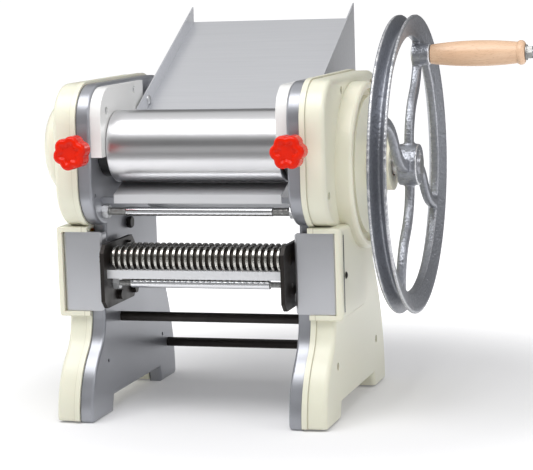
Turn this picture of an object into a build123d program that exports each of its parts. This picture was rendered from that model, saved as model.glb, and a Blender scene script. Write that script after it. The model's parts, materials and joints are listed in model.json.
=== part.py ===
"""Hand-cranked noodle machine: two smooth sheeting rollers over a pair of grooved cutting rolls.

Millimetres. X runs along the rollers towards the handwheel, Y to the back and Z up.
Sizes are set from the middle of the rollers, the front roller's axis and the floor, and every
piece is then moved so that the origin is on the floor under the middle of the whole machine.
"""

import os
from math import acos, atan2, ceil, cos, hypot, pi, radians, sin, sqrt, tan

from build123d import *

os.makedirs("parts", exist_ok=True)

# Fits
running_fit = 0.05
loose_fit = 0.3
end_play = 0.6
cut_over = 1.0
quarter_turn = 90.0

# Sheeting rollers
roller_length = 180.0
roller_d = 73.2
journal_d = 20.0
roller_gap = 1.0
gap_travel = 3.0
front_axis_z = 273.8
axis_drop = 26.8
roller_edge = 1.0

# Side frames: cast plates that are thick at the rim and thin in the web
cheek_t = 11.3
frame_t = 13.7
web_t = 6.0
rim_w = 9.0
boss_rim = 5.0
top_rise = 64.2
body_front_y = -50.0
body_rear_y = 188.0
body_drop = 38.8
body_taper = 40.5
rear_drop = 5.8
body_corner_r = 38.0
waist_front_y = -26.0
waist_rear_y = 143.0
waist_low_z = 104.0
foot_front_y = -71.0
foot_rear_y = 188.0
toe_r = 5.0
knee_share = 0.62
neck_y = -12.0
shelf_drop = 14.5
rear_flare_z = 140.0
frame_edge_r = 3.0
arch_z = 16.5
arch_front_y = -8.0
arch_rear_y = 134.0
arch_lean = 5.0

# Side covers: moulded shells with a lip along the frame and a box round the fascia
cover_depth = 25.0
cover_wall = 3.0
cover_edge_r = 5.0
cover_lift = 2.5
cover_proud = 1.0
lip_proud = 1.5
lip_w = 5.5
dome_r = 48.0
dome_flat_r = 25.0
dome_rim = 3.0
drum_r = 85.0
drum_depth = 42.0
drum_edge_r = 4.0
drum_groove_in = 7.0
drum_groove_w = 8.0
drum_groove_depth = 7.0
boss_r = 26.0
boss_depth = 66.0
shaft_gap = 2.0
box_depth = 34.0
box_border = 5.5
box_proud = 6.5
box_edge_r = 4.0
bead_r = 1.5
slit_in = 8.5
slit_w = 1.5
slit_depth = 2.0
box_rear_y = 78.0
box_rear_r = 18.0
post_r = 6.0
post_pad = 1.0
post_recess_r = 4.2
post_floor = 5.0

# Fascia plates in front of the waist
fascia_w = 41.0
fascia_t = 3.4
fascia_foot = 4.0
fascia_head = 5.5
fascia_edge_r = 3.0
fascia_corner_r = 3.5
flange_t = 0.8
flange_w = 10.0

# Cheeks beside the rollers and the seals under them
cheek_drop = 7.8
cheek_rise = 61.4
cheek_front_y = -46.0
cheek_rear_y = 58.0
cheek_corner_r = 30.0
cheek_rear_r = 3.0
cheek_tail_t = 5.0
cheek_tail_y = 99.0
cheek_tail_h = 39.2
seal_r = 31.0
rear_seal_r = 20.0
seal_gap = 1.2

# Bearings
bush_r = 15.0
bush_nose_r = 14.0
block_w = 38.0
block_h = 40.0

# Gap knobs
knob_lobes = 6
left_lobe_angle = 17.0
right_lobe_angle = 0.0
lobe_r = 8.0
lobe_pitch_r = 9.2
notch_round = 2.0
knob_out = 2.2
knob_t = 19.0
knob_standoff = 10.0
knob_round = 4.0
collar_r = 8.0
collar_t = 6.0
stud_r = 4.0
gap_stud_r = 3.4
stud_tip_r = 3.0
stud_tip = 4.5
stud_socket = 12.0

# Gears
roller_teeth = 18
roller_mesh_slack = 2.2
roller_gear_w = 14.0
train_module = 2.0
drive_teeth = 54
cutter_teeth = 18
idler_spare_teeth = 2.5
train_w = 12.0
pair_module = 1.5
pair_teeth = 16
tooth_backlash = 0.45
gear_offset = 4.0
shaft_past = 2.4
drive_window_r = 9.0
drive_window_pitch_r = 36.0
drive_windows = 6
pressure_angle = radians(20)
dedendum = 1.25

# Cutting cassette
cutter_d = 25.0
cutter_core_d = 18.0
cutter_pitch = 6.4
cutter_disc = 2.9
cutter_end = 3.0
cutter_shaft_r = 6.0
front_cutter_y = -26.0
cutter_z = 162.5
plate_t = 4.0
plate_space = 5.9
plate_fore = 24.0
plate_aft = 45.0
plate_drop = 49.5
plate_rise = 15.5
plate_corner = 8.0
comb_t = 1.5
comb_h = 8.6
finger_clear = 1.5
comb_gap = 1.0
finger_w = 2.2
finger_t = 1.4
cassette_rod_back = 5.0
cassette_rod_drop = 26.5
cassette_bolt_r = 3.0
cassette_bolt_in = 9.0
cassette_bolt_back = 25.0
cassette_nut_r = 6.4
cassette_head_r = 5.4
cassette_sleeve_in = 19.0
pair_gap = 0.4
pair_clear = 1.1

# Tie rods between the frames
rod_r = 4.0
sleeve_r = 4.6
sleeve_in = 24.9
front_rod_y = -17.0
front_rod_below = 8.8
low_bar_y = 22.0
low_bar_z = 94.0
rear_bar_in = 24.0
rear_bar_below = 46.0
rear_bar_low_z = 40.0
bar_r = 5.0
nut_r = 7.4
nut_t = 6.5
nut_pad = 2.0
rod_end = 4.0

# Scrapers under the rollers
scraper_in = 2.0
scraper_t = 1.6
scraper_lip = 9.0
scraper_run = 27.0
scraper_drop = 10.0
scraper_gap = 0.6
scraper_tip_past = 3.0
bracket_w = 12.0
bracket_t = 5.0

# Feed tray
tray_side_gap = 6.9
tray_t = 1.5
tray_over = 3.2
tray_rear_y = 271.0
tray_gap = 1.4
tray_slope = radians(27)
tray_wall = 17.0
tray_heel_rise = 18.0
tray_toe = 19.0
tray_floor_back = 6.0
tray_screw_in = 41.0
tray_screw_below = 24.0
tray_screw_pitch = 62.0
tray_screw_rise = 8.0
tray_screw_r = 2.5
tray_slot = 10.0

# Cover and cheek screws
screw_r = 2.0
screw_head_r = 3.6
screw_head_t = 2.6
screw_length = 14.0
front_screw_in = 11.0
front_screw_rise = 32.5
leg_screw_front = 5.0
leg_screw_front_z = 55.0
leg_screw_rear = 3.0
leg_screw_rear_z = 52.0
top_screw_y = 20.0
top_screw_in = 12.0
cheek_screw_in = 18.0
cheek_screw_below = 23.1
cheek_rear_screw_below = 7.2

# Handwheel
wheel_r = 151.5
wheel_w = 20.0
rim_depth = 22.0
groove_depth = 14.0
groove_floor_w = 3.0
groove_mouth_w = 14.0
rim_lean = 6.0
crest_r = 1.5
hub_r = 21.0
hub_length = 21.0
hub_gap = 6.0
spoke_count = 4
spoke_w = 12.0
spoke_t = 9.0
spoke_corner_r = 3.0
spoke_sweep = radians(23)
key_w = 6.0
key_h = 6.0
shaft_stub = 2.0

# Crank handle
handle_in = 33.0
handle_boss_r = 11.0
handle_boss_out = 4.0
grip_length = 97.0
grip_neck_r = 10.0
grip_belly_r = 13.2
grip_tail_r = 11.0
grip_bead = 8.0
grip_bead_rise = 1.6
handle_bolt_r = 4.0
handle_nut_r = 7.0
handle_nut_t = 5.5
washer_rim = 1.0
washer_t = 1.2
handle_bolt_end = 1.0

# Derived places
roller_r = roller_d / 2
journal_r = journal_d / 2
frame_x = roller_length / 2 + end_play + cheek_t
cover_x = frame_x + frame_t
rear_axis_z = front_axis_z - axis_drop
rear_axis_y = sqrt((roller_d + roller_gap) ** 2 - axis_drop**2)
front_axis = (0.0, front_axis_z)
rear_axis = (rear_axis_y, rear_axis_z)
top_z = front_axis_z + top_rise
body_low_z = front_axis_z - body_drop
waist_top_z = body_low_z - body_taper
shelf_z = waist_top_z - shelf_drop
knee_y = foot_front_y + knee_share * (waist_front_y - foot_front_y)
knee_z = toe_r + knee_share * (waist_low_z - toe_r)
rear_low_z = front_axis_z - rear_drop
fascia_low_z = waist_low_z + fascia_foot
fascia_top_z = waist_top_z - fascia_head
box_front_y = waist_front_y - box_proud
box_low_z = fascia_low_z - box_border
box_top_z = fascia_top_z + box_border
cheek_low_z = front_axis_z - cheek_drop
cheek_top_z = front_axis_z + cheek_rise
knob_front_y = body_front_y - knob_standoff - collar_t - knob_t
side_x = cover_x + cover_depth
drum_x = cover_x + drum_depth
boss_x = cover_x + boss_depth
hub_x = boss_x + hub_gap
wheel_x = hub_x + wheel_w / 2
gear_x = cover_x + gear_offset
roller_module = (roller_d + roller_gap - roller_mesh_slack) / roller_teeth
plate_x = frame_x - plate_space - plate_t
cutter_half = plate_x - cutter_end
cutter_discs = int((2 * cutter_half - cutter_disc) / cutter_pitch)
pair_pitch = pair_module * pair_teeth
rear_cutter_y = front_cutter_y + pair_pitch
front_cutter = (front_cutter_y, cutter_z)
rear_cutter = (rear_cutter_y, cutter_z)
plate_front_y = front_cutter_y - plate_fore
plate_rear_y = rear_cutter_y + plate_aft
plate_low_z = cutter_z - plate_drop
plate_top_z = cutter_z + plate_rise
comb_top_z = cutter_z - cutter_core_d / 2 - finger_clear
knob_x = frame_x + frame_t / 2 + knob_out
handle_r = wheel_r - handle_in
handle_angle = pi / 2 - spoke_sweep
handle_axis = (
    rear_axis_y + handle_r * cos(handle_angle),
    rear_axis_z + handle_r * sin(handle_angle),
)
handle_boss_x = hub_x + hub_length + handle_boss_out
grip_x = handle_boss_x + end_play
grip_end_x = grip_x + grip_length
handle_end_x = grip_end_x + end_play + washer_t + handle_nut_t + handle_bolt_end
footprint_x = (handle_end_x - drum_x) / 2
footprint_y = (tray_rear_y + knob_front_y) / 2
to_footprint_centre = Location((-footprint_x, -footprint_y, 0))


def save(piece, name):
    """Write one finished piece in the machine's own frame."""
    solid = piece.part.moved(to_footprint_centre)
    solid.label = name
    export_step(solid, f"parts/{name}.step")


def across(x, yz=(0.0, 0.0)):
    """Sketch plane square to the rollers: its first axis is Y and its second is Z."""
    return Plane((x, *yz), x_dir=(0, 1, 0), z_dir=(1, 0, 0))


def bar(x_from, x_to, radius, yz, mode=Mode.ADD):
    """Round bar or hole parallel to the rollers."""
    with BuildSketch(across(x_from, yz)) as section:
        Circle(radius)
    extrude(section.sketch, amount=x_to - x_from, mode=mode)


def ring(x_from, x_to, outer, inner, yz):
    """Tube parallel to the rollers."""
    with BuildSketch(across(x_from, yz)) as section:
        Circle(outer)
        Circle(inner, mode=Mode.SUBTRACT)
    extrude(section.sketch, amount=x_to - x_from)


def hex_nut(x_from, x_to, radius, hole_r, yz):
    """Hexagon nut parallel to the rollers."""
    with BuildSketch(across(x_from, yz)) as section:
        RegularPolygon(radius, 6)
        Circle(hole_r, mode=Mode.SUBTRACT)
    extrude(section.sketch, amount=x_to - x_from)


def slab(x_from, x_to, y_from, y_to, z_from, z_to, mode=Mode.ADD):
    """Square block between two corners."""
    middle = ((x_from + x_to) / 2, (y_from + y_to) / 2, (z_from + z_to) / 2)
    with Locations(middle):
        Box(abs(x_to - x_from), abs(y_to - y_from), abs(z_to - z_from), mode=mode)


def side_outline():
    """Outline of a side frame: wide body, narrow waist and two feet."""
    with BuildLine() as outline:
        RadiusArc((foot_front_y + toe_r, 0), (foot_front_y, toe_r), toe_r)
        TangentArc((foot_front_y, toe_r), (knee_y, knee_z), tangent=(0, 1))
        TangentArc((waist_front_y, waist_low_z), (knee_y, knee_z), tangent=(0, -1))
        Polyline(
            (waist_front_y, waist_low_z),
            (waist_front_y, shelf_z),
            (neck_y, shelf_z),
            (neck_y, waist_top_z),
        )
        TangentArc((body_front_y, body_low_z), (neck_y, waist_top_z), tangent=(0, -1))
        Line((body_front_y, body_low_z), (body_front_y, top_z - body_corner_r))
        RadiusArc(
            (body_front_y, top_z - body_corner_r),
            (body_front_y + body_corner_r, top_z),
            body_corner_r,
        )
        Line((body_front_y + body_corner_r, top_z), (body_rear_y - body_corner_r, top_z))
        RadiusArc(
            (body_rear_y - body_corner_r, top_z),
            (body_rear_y, top_z - body_corner_r),
            body_corner_r,
        )
        Line((body_rear_y, top_z - body_corner_r), (body_rear_y, rear_low_z))
        TangentArc(
            (body_rear_y, rear_low_z), (waist_rear_y, waist_top_z), tangent=(0, -1)
        )
        Line((waist_rear_y, waist_top_z), (waist_rear_y, rear_flare_z))
        TangentArc((foot_rear_y, toe_r), (waist_rear_y, rear_flare_z), tangent=(0, 1))
        RadiusArc((foot_rear_y, toe_r), (foot_rear_y - toe_r, 0), toe_r)
        Polyline(
            (foot_rear_y - toe_r, 0),
            (arch_rear_y + arch_lean, 0),
            (arch_rear_y, arch_z),
            (arch_front_y, arch_z),
            (arch_front_y - arch_lean, 0),
            (foot_front_y + toe_r, 0),
        )
    make_face(outline.edges())


def grown_outline(grow, corners=Kind.ARC):
    """The frame's outline grown all round, or drawn in where grow is negative."""
    side_outline()
    offset(amount=grow, kind=corners, mode=Mode.REPLACE)


def gear_points(module, teeth, phase):
    """Outline of an involute gear; a tooth is centred on the angle phase."""
    pitch_r = module * teeth / 2
    base_r = pitch_r * cos(pressure_angle)
    tip_r = pitch_r + module
    root_r = pitch_r - dedendum * module
    half_tooth = (pi * module / 2 - tooth_backlash) / (2 * pitch_r)

    def half_angle(radius):
        roll = acos(min(1.0, base_r / radius))
        return half_tooth + tan(pressure_angle) - pressure_angle - tan(roll) + roll

    start_r = max(base_r, root_r)
    radii = sorted({root_r, start_r, pitch_r, tip_r})
    flank = [(r, half_angle(max(r, start_r))) for r in radii]
    points = []
    for tooth in range(teeth):
        middle = phase + tooth * 2 * pi / teeth
        for r, a in flank:
            points.append((r * cos(middle - a), r * sin(middle - a)))
        for r, a in reversed(flank):
            points.append((r * cos(middle + a), r * sin(middle + a)))
    return points


def gear(x_from, width, module, teeth, phase, yz, bore_r):
    """Spur gear with a plain bore, parallel to the rollers."""
    with BuildSketch(across(x_from, yz)) as section:
        with BuildLine():
            Polyline(*gear_points(module, teeth, phase), close=True)
        make_face()
        Circle(bore_r, mode=Mode.SUBTRACT)
    extrude(section.sketch, amount=width)


def direction(yz_from, yz_to):
    """Angle from one axis to another, seen along the rollers."""
    return atan2(yz_to[1] - yz_from[1], yz_to[0] - yz_from[0])


def meshing_phase(phase, teeth, other_teeth, angle):
    """Phase of a gear that meshes with another gear lying at that angle from it."""
    tooth = 2 * pi / teeth
    offset = (angle - phase) % tooth
    return angle + pi + offset * teeth / other_teeth + pi / other_teeth


# The idler stands where it reaches both the drive gear and the cutter gear.
train_span = hypot(rear_axis_y - rear_cutter_y, rear_axis_z - cutter_z)
idler_teeth = ceil(
    train_span / train_module - (drive_teeth + cutter_teeth) / 2 + idler_spare_teeth
)
drive_reach = train_module * (drive_teeth + idler_teeth) / 2
cutter_reach = train_module * (idler_teeth + cutter_teeth) / 2
train_along = (drive_reach**2 - cutter_reach**2 + train_span**2) / (2 * train_span)
train_aside = sqrt(drive_reach**2 - train_along**2)
train_angle = direction(rear_axis, rear_cutter)
idler_axis = (
    rear_axis_y + train_along * cos(train_angle) - train_aside * sin(train_angle),
    rear_axis_z + train_along * sin(train_angle) + train_aside * cos(train_angle),
)
drive_phase = direction(rear_axis, idler_axis)
idler_phase = meshing_phase(drive_phase, drive_teeth, idler_teeth, drive_phase)
cutter_phase = meshing_phase(
    idler_phase, idler_teeth, cutter_teeth, direction(idler_axis, rear_cutter)
)
rear_roller_phase = direction(rear_axis, front_axis)
front_roller_phase = meshing_phase(
    rear_roller_phase, roller_teeth, roller_teeth, rear_roller_phase
)
front_pair_phase = meshing_phase(0.0, pair_teeth, pair_teeth, pi)

# Places of the fasteners, seen along the rollers
front_tip_z = front_axis_z - roller_r - scraper_gap
rear_tip_z = rear_axis_z - roller_r - scraper_gap
front_rod_z = front_tip_z - scraper_drop - scraper_lip - front_rod_below
rear_bar_y = body_rear_y - rear_bar_in
rear_bar_top_z = top_z - rear_bar_below
tray_front_y = rear_axis_y - tray_over
tray_front_z = rear_axis_z + roller_r + tray_gap + tray_toe
tray_screw_y = tray_front_y + tray_screw_in
tray_screw_z = top_z - tray_screw_below
tie_places = (
    (front_rod_y, front_rod_z),
    (low_bar_y, low_bar_z),
    (rear_bar_y, rear_bar_top_z),
    (rear_bar_y, rear_bar_low_z),
)
cover_screw_places = (
    (body_front_y + front_screw_in, waist_top_z + front_screw_rise),
    (waist_front_y + leg_screw_front, leg_screw_front_z),
    (waist_rear_y + leg_screw_rear, leg_screw_rear_z),
    (top_screw_y, top_z - top_screw_in),
    (body_rear_y - body_corner_r, top_z - top_screw_in),
)
cassette_bolt_places = (
    (waist_front_y + 2 * cassette_bolt_in, plate_low_z + cassette_bolt_in),
    (plate_rear_y - cassette_bolt_in, plate_low_z + cassette_bolt_in),
    (rear_cutter_y + cassette_bolt_back, plate_top_z - cassette_bolt_in),
)
cheek_screw_places = (
    (cheek_front_y + cheek_screw_in, cheek_top_z - cheek_screw_below),
    (cheek_rear_y - cheek_rear_r, cheek_top_z - cheek_rear_screw_below),
)
tray_screw_places = (
    (tray_screw_y, tray_screw_z),
    (tray_screw_y + tray_screw_pitch, tray_screw_z + tray_screw_rise),
)
window_front_y = -block_w / 2 - gap_travel - loose_fit
window_rear_y = block_w / 2 + loose_fit
seal_x = roller_length / 2 + seal_gap
pair_x = plate_x + plate_t + pair_gap
pair_w = plate_space - pair_gap - pair_clear
cassette_rod = (front_cutter_y + cassette_rod_back, cutter_z - cassette_rod_drop)
cassette_sleeve_half = plate_x - cassette_sleeve_in
sleeve_half = frame_x - sleeve_in
scraper_half = roller_length / 2 - scraper_in
tie_end_x = cover_x + nut_t + rod_end
tray_half_w = frame_x - tray_side_gap
tray_top_z = tray_front_z + (tray_rear_y - tray_front_y) * tan(tray_slope)


def side_frame(side):
    """One cast side frame, with its web on the roller side and its rim outside."""
    with BuildPart() as frame:
        with BuildSketch(across(side * frame_x)):
            side_outline()
        extrude(amount=side * frame_t)
        roller_face = frame.faces().sort_by(Axis.X)[0 if side > 0 else -1]
        fillet(roller_face.edges(), frame_edge_r)
        with BuildSketch(across(side * (frame_x + web_t))):
            side_outline()
            offset(amount=-rim_w, mode=Mode.REPLACE)
            with Locations(rear_axis):
                Circle(bush_r + boss_rim, mode=Mode.SUBTRACT)
            with Locations(idler_axis):
                Circle(stud_r + boss_rim + nut_pad, mode=Mode.SUBTRACT)
            with Locations(*tie_places):
                Circle(nut_r + nut_pad, mode=Mode.SUBTRACT)
            with Locations(*cover_screw_places):
                Circle(post_r + post_pad, mode=Mode.SUBTRACT)
            with Locations(*cassette_bolt_places):
                Circle(cassette_bolt_r + boss_rim, mode=Mode.SUBTRACT)
            with Locations(*tray_screw_places, *cheek_screw_places):
                Circle(tray_screw_r + boss_rim, mode=Mode.SUBTRACT)
            with Locations((0.0, front_axis_z)):
                Rectangle(
                    block_w + 2 * (gap_travel + 2 * boss_rim),
                    block_h + 2 * boss_rim,
                    mode=Mode.SUBTRACT,
                )
            with Locations((body_front_y / 2, front_axis_z)):
                Rectangle(-body_front_y, 2 * (stud_r + boss_rim), mode=Mode.SUBTRACT)
        extrude(amount=side * (frame_t - web_t), mode=Mode.SUBTRACT)
        x_ends = (side * (frame_x - cut_over), side * (cover_x + cut_over))
        bar(*x_ends, bush_r, rear_axis, Mode.SUBTRACT)
        slab(
            *x_ends,
            window_front_y,
            window_rear_y,
            front_axis_z - block_h / 2 - running_fit,
            front_axis_z + block_h / 2 + running_fit,
            Mode.SUBTRACT,
        )
        with BuildSketch(Plane.XZ.offset(-body_front_y + cut_over)):
            with Locations((side * knob_x, front_axis_z)):
                Circle(gap_stud_r + running_fit)
        extrude(amount=body_front_y - window_front_y - 2 * cut_over, mode=Mode.SUBTRACT)
        for place in tie_places:
            bar(*x_ends, rod_r + running_fit, place, Mode.SUBTRACT)
        for place in cover_screw_places:
            bar(*x_ends, screw_r + running_fit, place, Mode.SUBTRACT)
        for place in cassette_bolt_places:
            bar(*x_ends, cassette_bolt_r + running_fit, place, Mode.SUBTRACT)
        for place in tray_screw_places:
            bar(*x_ends, tray_screw_r + running_fit, place, Mode.SUBTRACT)
        for place in cheek_screw_places:
            bar(*x_ends, screw_r + running_fit, place, Mode.SUBTRACT)
        if side > 0:
            bar(*x_ends, cutter_shaft_r + shaft_gap, rear_cutter, Mode.SUBTRACT)
            bar(*x_ends, stud_r + running_fit, idler_axis, Mode.SUBTRACT)
    return frame


def gear_drum():
    """Round housing of the gear train on the right cover, with a groove round its face."""
    with BuildPart() as drum:
        bar(cover_x, drum_x, drum_r, rear_axis)
        fillet(drum.faces().sort_by(Axis.X)[-1].edges(), drum_edge_r)
        with BuildSketch(across(drum_x, rear_axis)):
            Circle(drum_r - drum_groove_in)
            Circle(drum_r - drum_groove_in - drum_groove_w, mode=Mode.SUBTRACT)
        extrude(amount=-drum_groove_depth, mode=Mode.SUBTRACT)
    add(drum.part)


def bearing_dome():
    """Smooth dome on the left cover, outside the front roller's bearing."""
    rim_x = side_x + dome_rim
    with BuildPart() as dome:
        with BuildSketch(Plane.XY.offset(front_axis_z)):
            with BuildLine():
                Polyline(
                    (-drum_x, dome_flat_r),
                    (-drum_x, 0),
                    (-cover_x, 0),
                    (-cover_x, dome_r),
                    (-rim_x, dome_r),
                )
                EllipticalCenterArc(
                    (-rim_x, dome_flat_r),
                    drum_x - rim_x,
                    dome_r - dome_flat_r,
                    start_angle=quarter_turn,
                    arc_size=quarter_turn,
                )
            make_face()
        revolve(axis=Axis((0, *front_axis), (1, 0, 0)))
    add(dome.part)


def fascia_box(side):
    """Box on the cover that frames the fascia, with rounded edges and a bead in front."""
    with BuildPart() as box:
        with BuildSketch(across(side * cover_x)) as outline:
            with Locations(((box_front_y + box_rear_y) / 2, (box_low_z + box_top_z) / 2)):
                Rectangle(box_rear_y - box_front_y, box_top_z - box_low_z)
            fillet(outline.vertices().group_by(Axis.X)[-1], box_rear_r)
        extrude(amount=side * box_depth)
        outer_face = box.faces().sort_by(Axis.X)[-1 if side > 0 else 0]
        fillet(outer_face.edges(), box_edge_r)
        front_face = box.faces().sort_by(Axis.Y)[0]
        fillet(front_face.edges().filter_by(Axis.X), bead_r)
        slab(
            side * (cover_x + box_depth - slit_depth),
            side * (cover_x + box_depth + cut_over),
            box_front_y + slit_in,
            box_front_y + slit_in + slit_w,
            fascia_low_z,
            fascia_top_z,
            Mode.SUBTRACT,
        )
    return box.part


def side_cover(side):
    """Moulded side cover: a shell open to the frame, with a round gear drum or a smooth dome."""
    with BuildPart() as cover:
        with BuildSketch(across(side * cover_x)):
            grown_outline(cover_proud, Kind.INTERSECTION)
        extrude(amount=side * cover_depth)
        outer_face = cover.faces().sort_by(Axis.X)[-1 if side > 0 else 0]
        fillet(outer_face.edges(), cover_edge_r)
        with BuildSketch(across(side * cover_x)):
            grown_outline(cover_proud + lip_proud)
        extrude(amount=side * lip_w)
        if side > 0:
            gear_drum()
        else:
            bearing_dome()
        add(fascia_box(side))
        with BuildSketch(across(side * (cover_x - cut_over))):
            grown_outline(cover_proud - cover_wall)
        extrude(amount=side * (cover_depth - cover_wall + cut_over), mode=Mode.SUBTRACT)
        if side > 0:
            inner_r = drum_r - drum_groove_in - drum_groove_w - cover_wall
            bar(cover_x, drum_x - cover_wall, inner_r, rear_axis, Mode.SUBTRACT)
        slab(
            side * cover_x,
            side * (cover_x + box_depth - cover_wall),
            waist_front_y + cover_wall,
            box_rear_y - box_rear_r,
            box_low_z + cover_wall,
            box_top_z - cover_wall,
            Mode.SUBTRACT,
        )
        slab(
            side * (cover_x - cut_over),
            side * (frame_x + fascia_w + loose_fit),
            box_front_y - cut_over,
            waist_front_y,
            fascia_low_z - loose_fit,
            fascia_top_z + loose_fit,
            Mode.SUBTRACT,
        )
        slab(
            side * cover_x,
            side * (side_x + cut_over),
            2 * foot_front_y,
            2 * foot_rear_y,
            -toe_r,
            cover_lift,
            Mode.SUBTRACT,
        )
        for place in cover_screw_places:
            bar(side * cover_x, side * (side_x - cover_wall / 2), post_r, place)
        for place in cover_screw_places:
            bar(side * (cover_x - cut_over), side * side_x, screw_r + loose_fit, place, Mode.SUBTRACT)
            recess_x = cover_x + post_floor
            bar(side * recess_x, side * drum_x, post_recess_r, place, Mode.SUBTRACT)
        if side > 0:
            bar(drum_x - cover_wall, boss_x, boss_r, rear_axis)
            bar(cover_x, boss_x + cut_over, journal_r + shaft_gap, rear_axis, Mode.SUBTRACT)
    return cover


def fascia(side):
    """Bent cover plate across the waist, with a flange back along the frame's inner face."""
    inner_x = frame_x - flange_t
    outer_x = frame_x + fascia_w
    with BuildPart() as plate:
        slab(
            side * inner_x,
            side * outer_x,
            waist_front_y - fascia_t,
            waist_front_y,
            fascia_low_z,
            fascia_top_z,
        )
        slab(
            side * inner_x,
            side * frame_x,
            waist_front_y,
            waist_front_y + flange_w,
            fascia_low_z,
            fascia_top_z,
        )
        front_edges = plate.faces().sort_by(Axis.Y)[0].edges().filter_by(Axis.Z)
        fillet(front_edges, fascia_edge_r)
        with BuildSketch(Plane.XZ.offset(fascia_t - waist_front_y)):
            with Locations((side * (inner_x + outer_x) / 2, (fascia_low_z + fascia_top_z) / 2)):
                RectangleRounded(outer_x - inner_x, fascia_top_z - fascia_low_z, fascia_corner_r)
        extrude(amount=-fascia_t - flange_w, mode=Mode.INTERSECT)
    return plate


def cheek(side):
    """Moulded hopper cheek that closes the space beside the rollers."""
    with BuildPart() as block:
        with BuildSketch(across(side * (roller_length / 2 + end_play))) as outline:
            with Locations(((cheek_front_y + cheek_rear_y) / 2, (cheek_low_z + cheek_top_z) / 2)):
                Rectangle(cheek_rear_y - cheek_front_y, cheek_top_z - cheek_low_z)
            top = outline.vertices().group_by(Axis.Y)[-1]
            fillet(top.sort_by(Axis.X)[0], cheek_corner_r)
            upper_rear = outline.vertices().group_by(Axis.Y)[-1].sort_by(Axis.X)[-1]
            fillet(upper_rear, cheek_rear_r)
            notch_r = bush_nose_r + end_play
            with Locations(front_axis, (-gap_travel, front_axis_z)):
                Circle(notch_r, mode=Mode.SUBTRACT)
            with Locations((-gap_travel / 2, (front_axis_z + cheek_low_z) / 2)):
                Rectangle(
                    2 * notch_r + gap_travel,
                    front_axis_z - cheek_low_z,
                    mode=Mode.SUBTRACT,
                )
        extrude(amount=side * cheek_t)
        slab(
            side * (frame_x - cheek_tail_t),
            side * frame_x,
            cheek_rear_y - cheek_tail_t,
            cheek_tail_y,
            cheek_top_z - cheek_tail_h,
            cheek_top_z,
        )
        for place in cheek_screw_places:
            face_x = roller_length / 2 + end_play
            bar(side * face_x, side * frame_x, screw_r + loose_fit, place, Mode.SUBTRACT)
            recess_x = face_x + screw_head_t + end_play
            bar(side * face_x, side * recess_x, screw_head_r + loose_fit, place, Mode.SUBTRACT)
    return block


def gap_knob(side):
    """Lobed knob that sets the gap between the rollers."""
    lobe_angle = right_lobe_angle if side > 0 else left_lobe_angle
    with BuildPart() as knob:
        with BuildSketch(Plane.XZ.offset(-knob_front_y)) as flower:
            with Locations((side * knob_x, front_axis_z)):
                Circle(lobe_pitch_r)
                with PolarLocations(lobe_pitch_r, knob_lobes, start_angle=lobe_angle):
                    Circle(lobe_r)
            fillet(flower.vertices(), notch_round)
        extrude(amount=-knob_t)
        fillet(knob.faces().sort_by(Axis.Y)[0].edges(), knob_round)
        with BuildSketch(Plane.XZ.offset(-knob_front_y - knob_t)):
            with Locations((side * knob_x, front_axis_z)):
                Circle(collar_r)
                Circle(gap_stud_r, mode=Mode.SUBTRACT)
        extrude(amount=-collar_t)
        with BuildSketch(Plane.XZ.offset(-knob_front_y - knob_t)):
            with Locations((side * knob_x, front_axis_z)):
                Circle(gap_stud_r)
        extrude(amount=stud_socket, mode=Mode.SUBTRACT)
    return knob


def gap_stud(side):
    """Threaded stud from the knob, through the frame's front edge, into the bearing block."""
    with BuildPart() as stud:
        with BuildSketch(Plane.XZ.offset(-knob_front_y - knob_t + stud_socket)):
            with Locations((side * knob_x, front_axis_z)):
                Circle(gap_stud_r)
        extrude(amount=knob_front_y + knob_t - stud_socket + block_w / 2)
        with BuildSketch(Plane.XZ.offset(block_w / 2)):
            with Locations((side * knob_x, front_axis_z)):
                Circle(stud_tip_r)
        extrude(amount=-(stud_tip - end_play))
    return stud


def cutting_roll(axis, shaft_left, shaft_right, disc_count):
    """Grooved cutting roll: a core with evenly spaced discs, and a shaft at each end."""
    with BuildPart() as roll:
        bar(-cutter_half, cutter_half, cutter_core_d / 2, axis)
        bar(-shaft_left, shaft_right, cutter_shaft_r, axis)
        for disc in range(disc_count):
            middle = (disc - (disc_count - 1) / 2) * cutter_pitch
            bar(middle - cutter_disc / 2, middle + cutter_disc / 2, cutter_d / 2, axis)
    return roll


def cassette_plate(side):
    """Plated side plate that holds the cutting rolls."""
    with BuildPart() as plate:
        with BuildSketch(across(side * plate_x)) as outline:
            with Locations(((plate_front_y + plate_rear_y) / 2, (plate_low_z + plate_top_z) / 2)):
                Rectangle(plate_rear_y - plate_front_y, plate_top_z - plate_low_z)
            chamfer(outline.vertices(), plate_corner)
        extrude(amount=side * plate_t)
        x_ends = (side * (plate_x - cut_over), side * (plate_x + plate_t + cut_over))
        for axis in (front_cutter, rear_cutter):
            bar(*x_ends, cutter_shaft_r + running_fit, axis, Mode.SUBTRACT)
        bar(*x_ends, cassette_bolt_r + running_fit, cassette_rod, Mode.SUBTRACT)
        for place in cassette_bolt_places:
            bar(*x_ends, cassette_bolt_r + running_fit, place, Mode.SUBTRACT)
    return plate


def comb(facing, axis_y, finger_count):
    """Clearing comb whose fingers lie in the grooves of one cutting roll."""
    strip_y = axis_y + facing * (cutter_d / 2 + comb_gap)
    with BuildPart() as strip:
        slab(-plate_x, plate_x, strip_y, strip_y + facing * comb_t, comb_top_z - comb_h, comb_top_z)
        for finger in range(finger_count):
            middle = (finger - (finger_count - 1) / 2) * cutter_pitch
            slab(
                middle - finger_w / 2,
                middle + finger_w / 2,
                axis_y,
                strip_y,
                comb_top_z - finger_t,
                comb_top_z,
            )
    return strip


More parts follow.
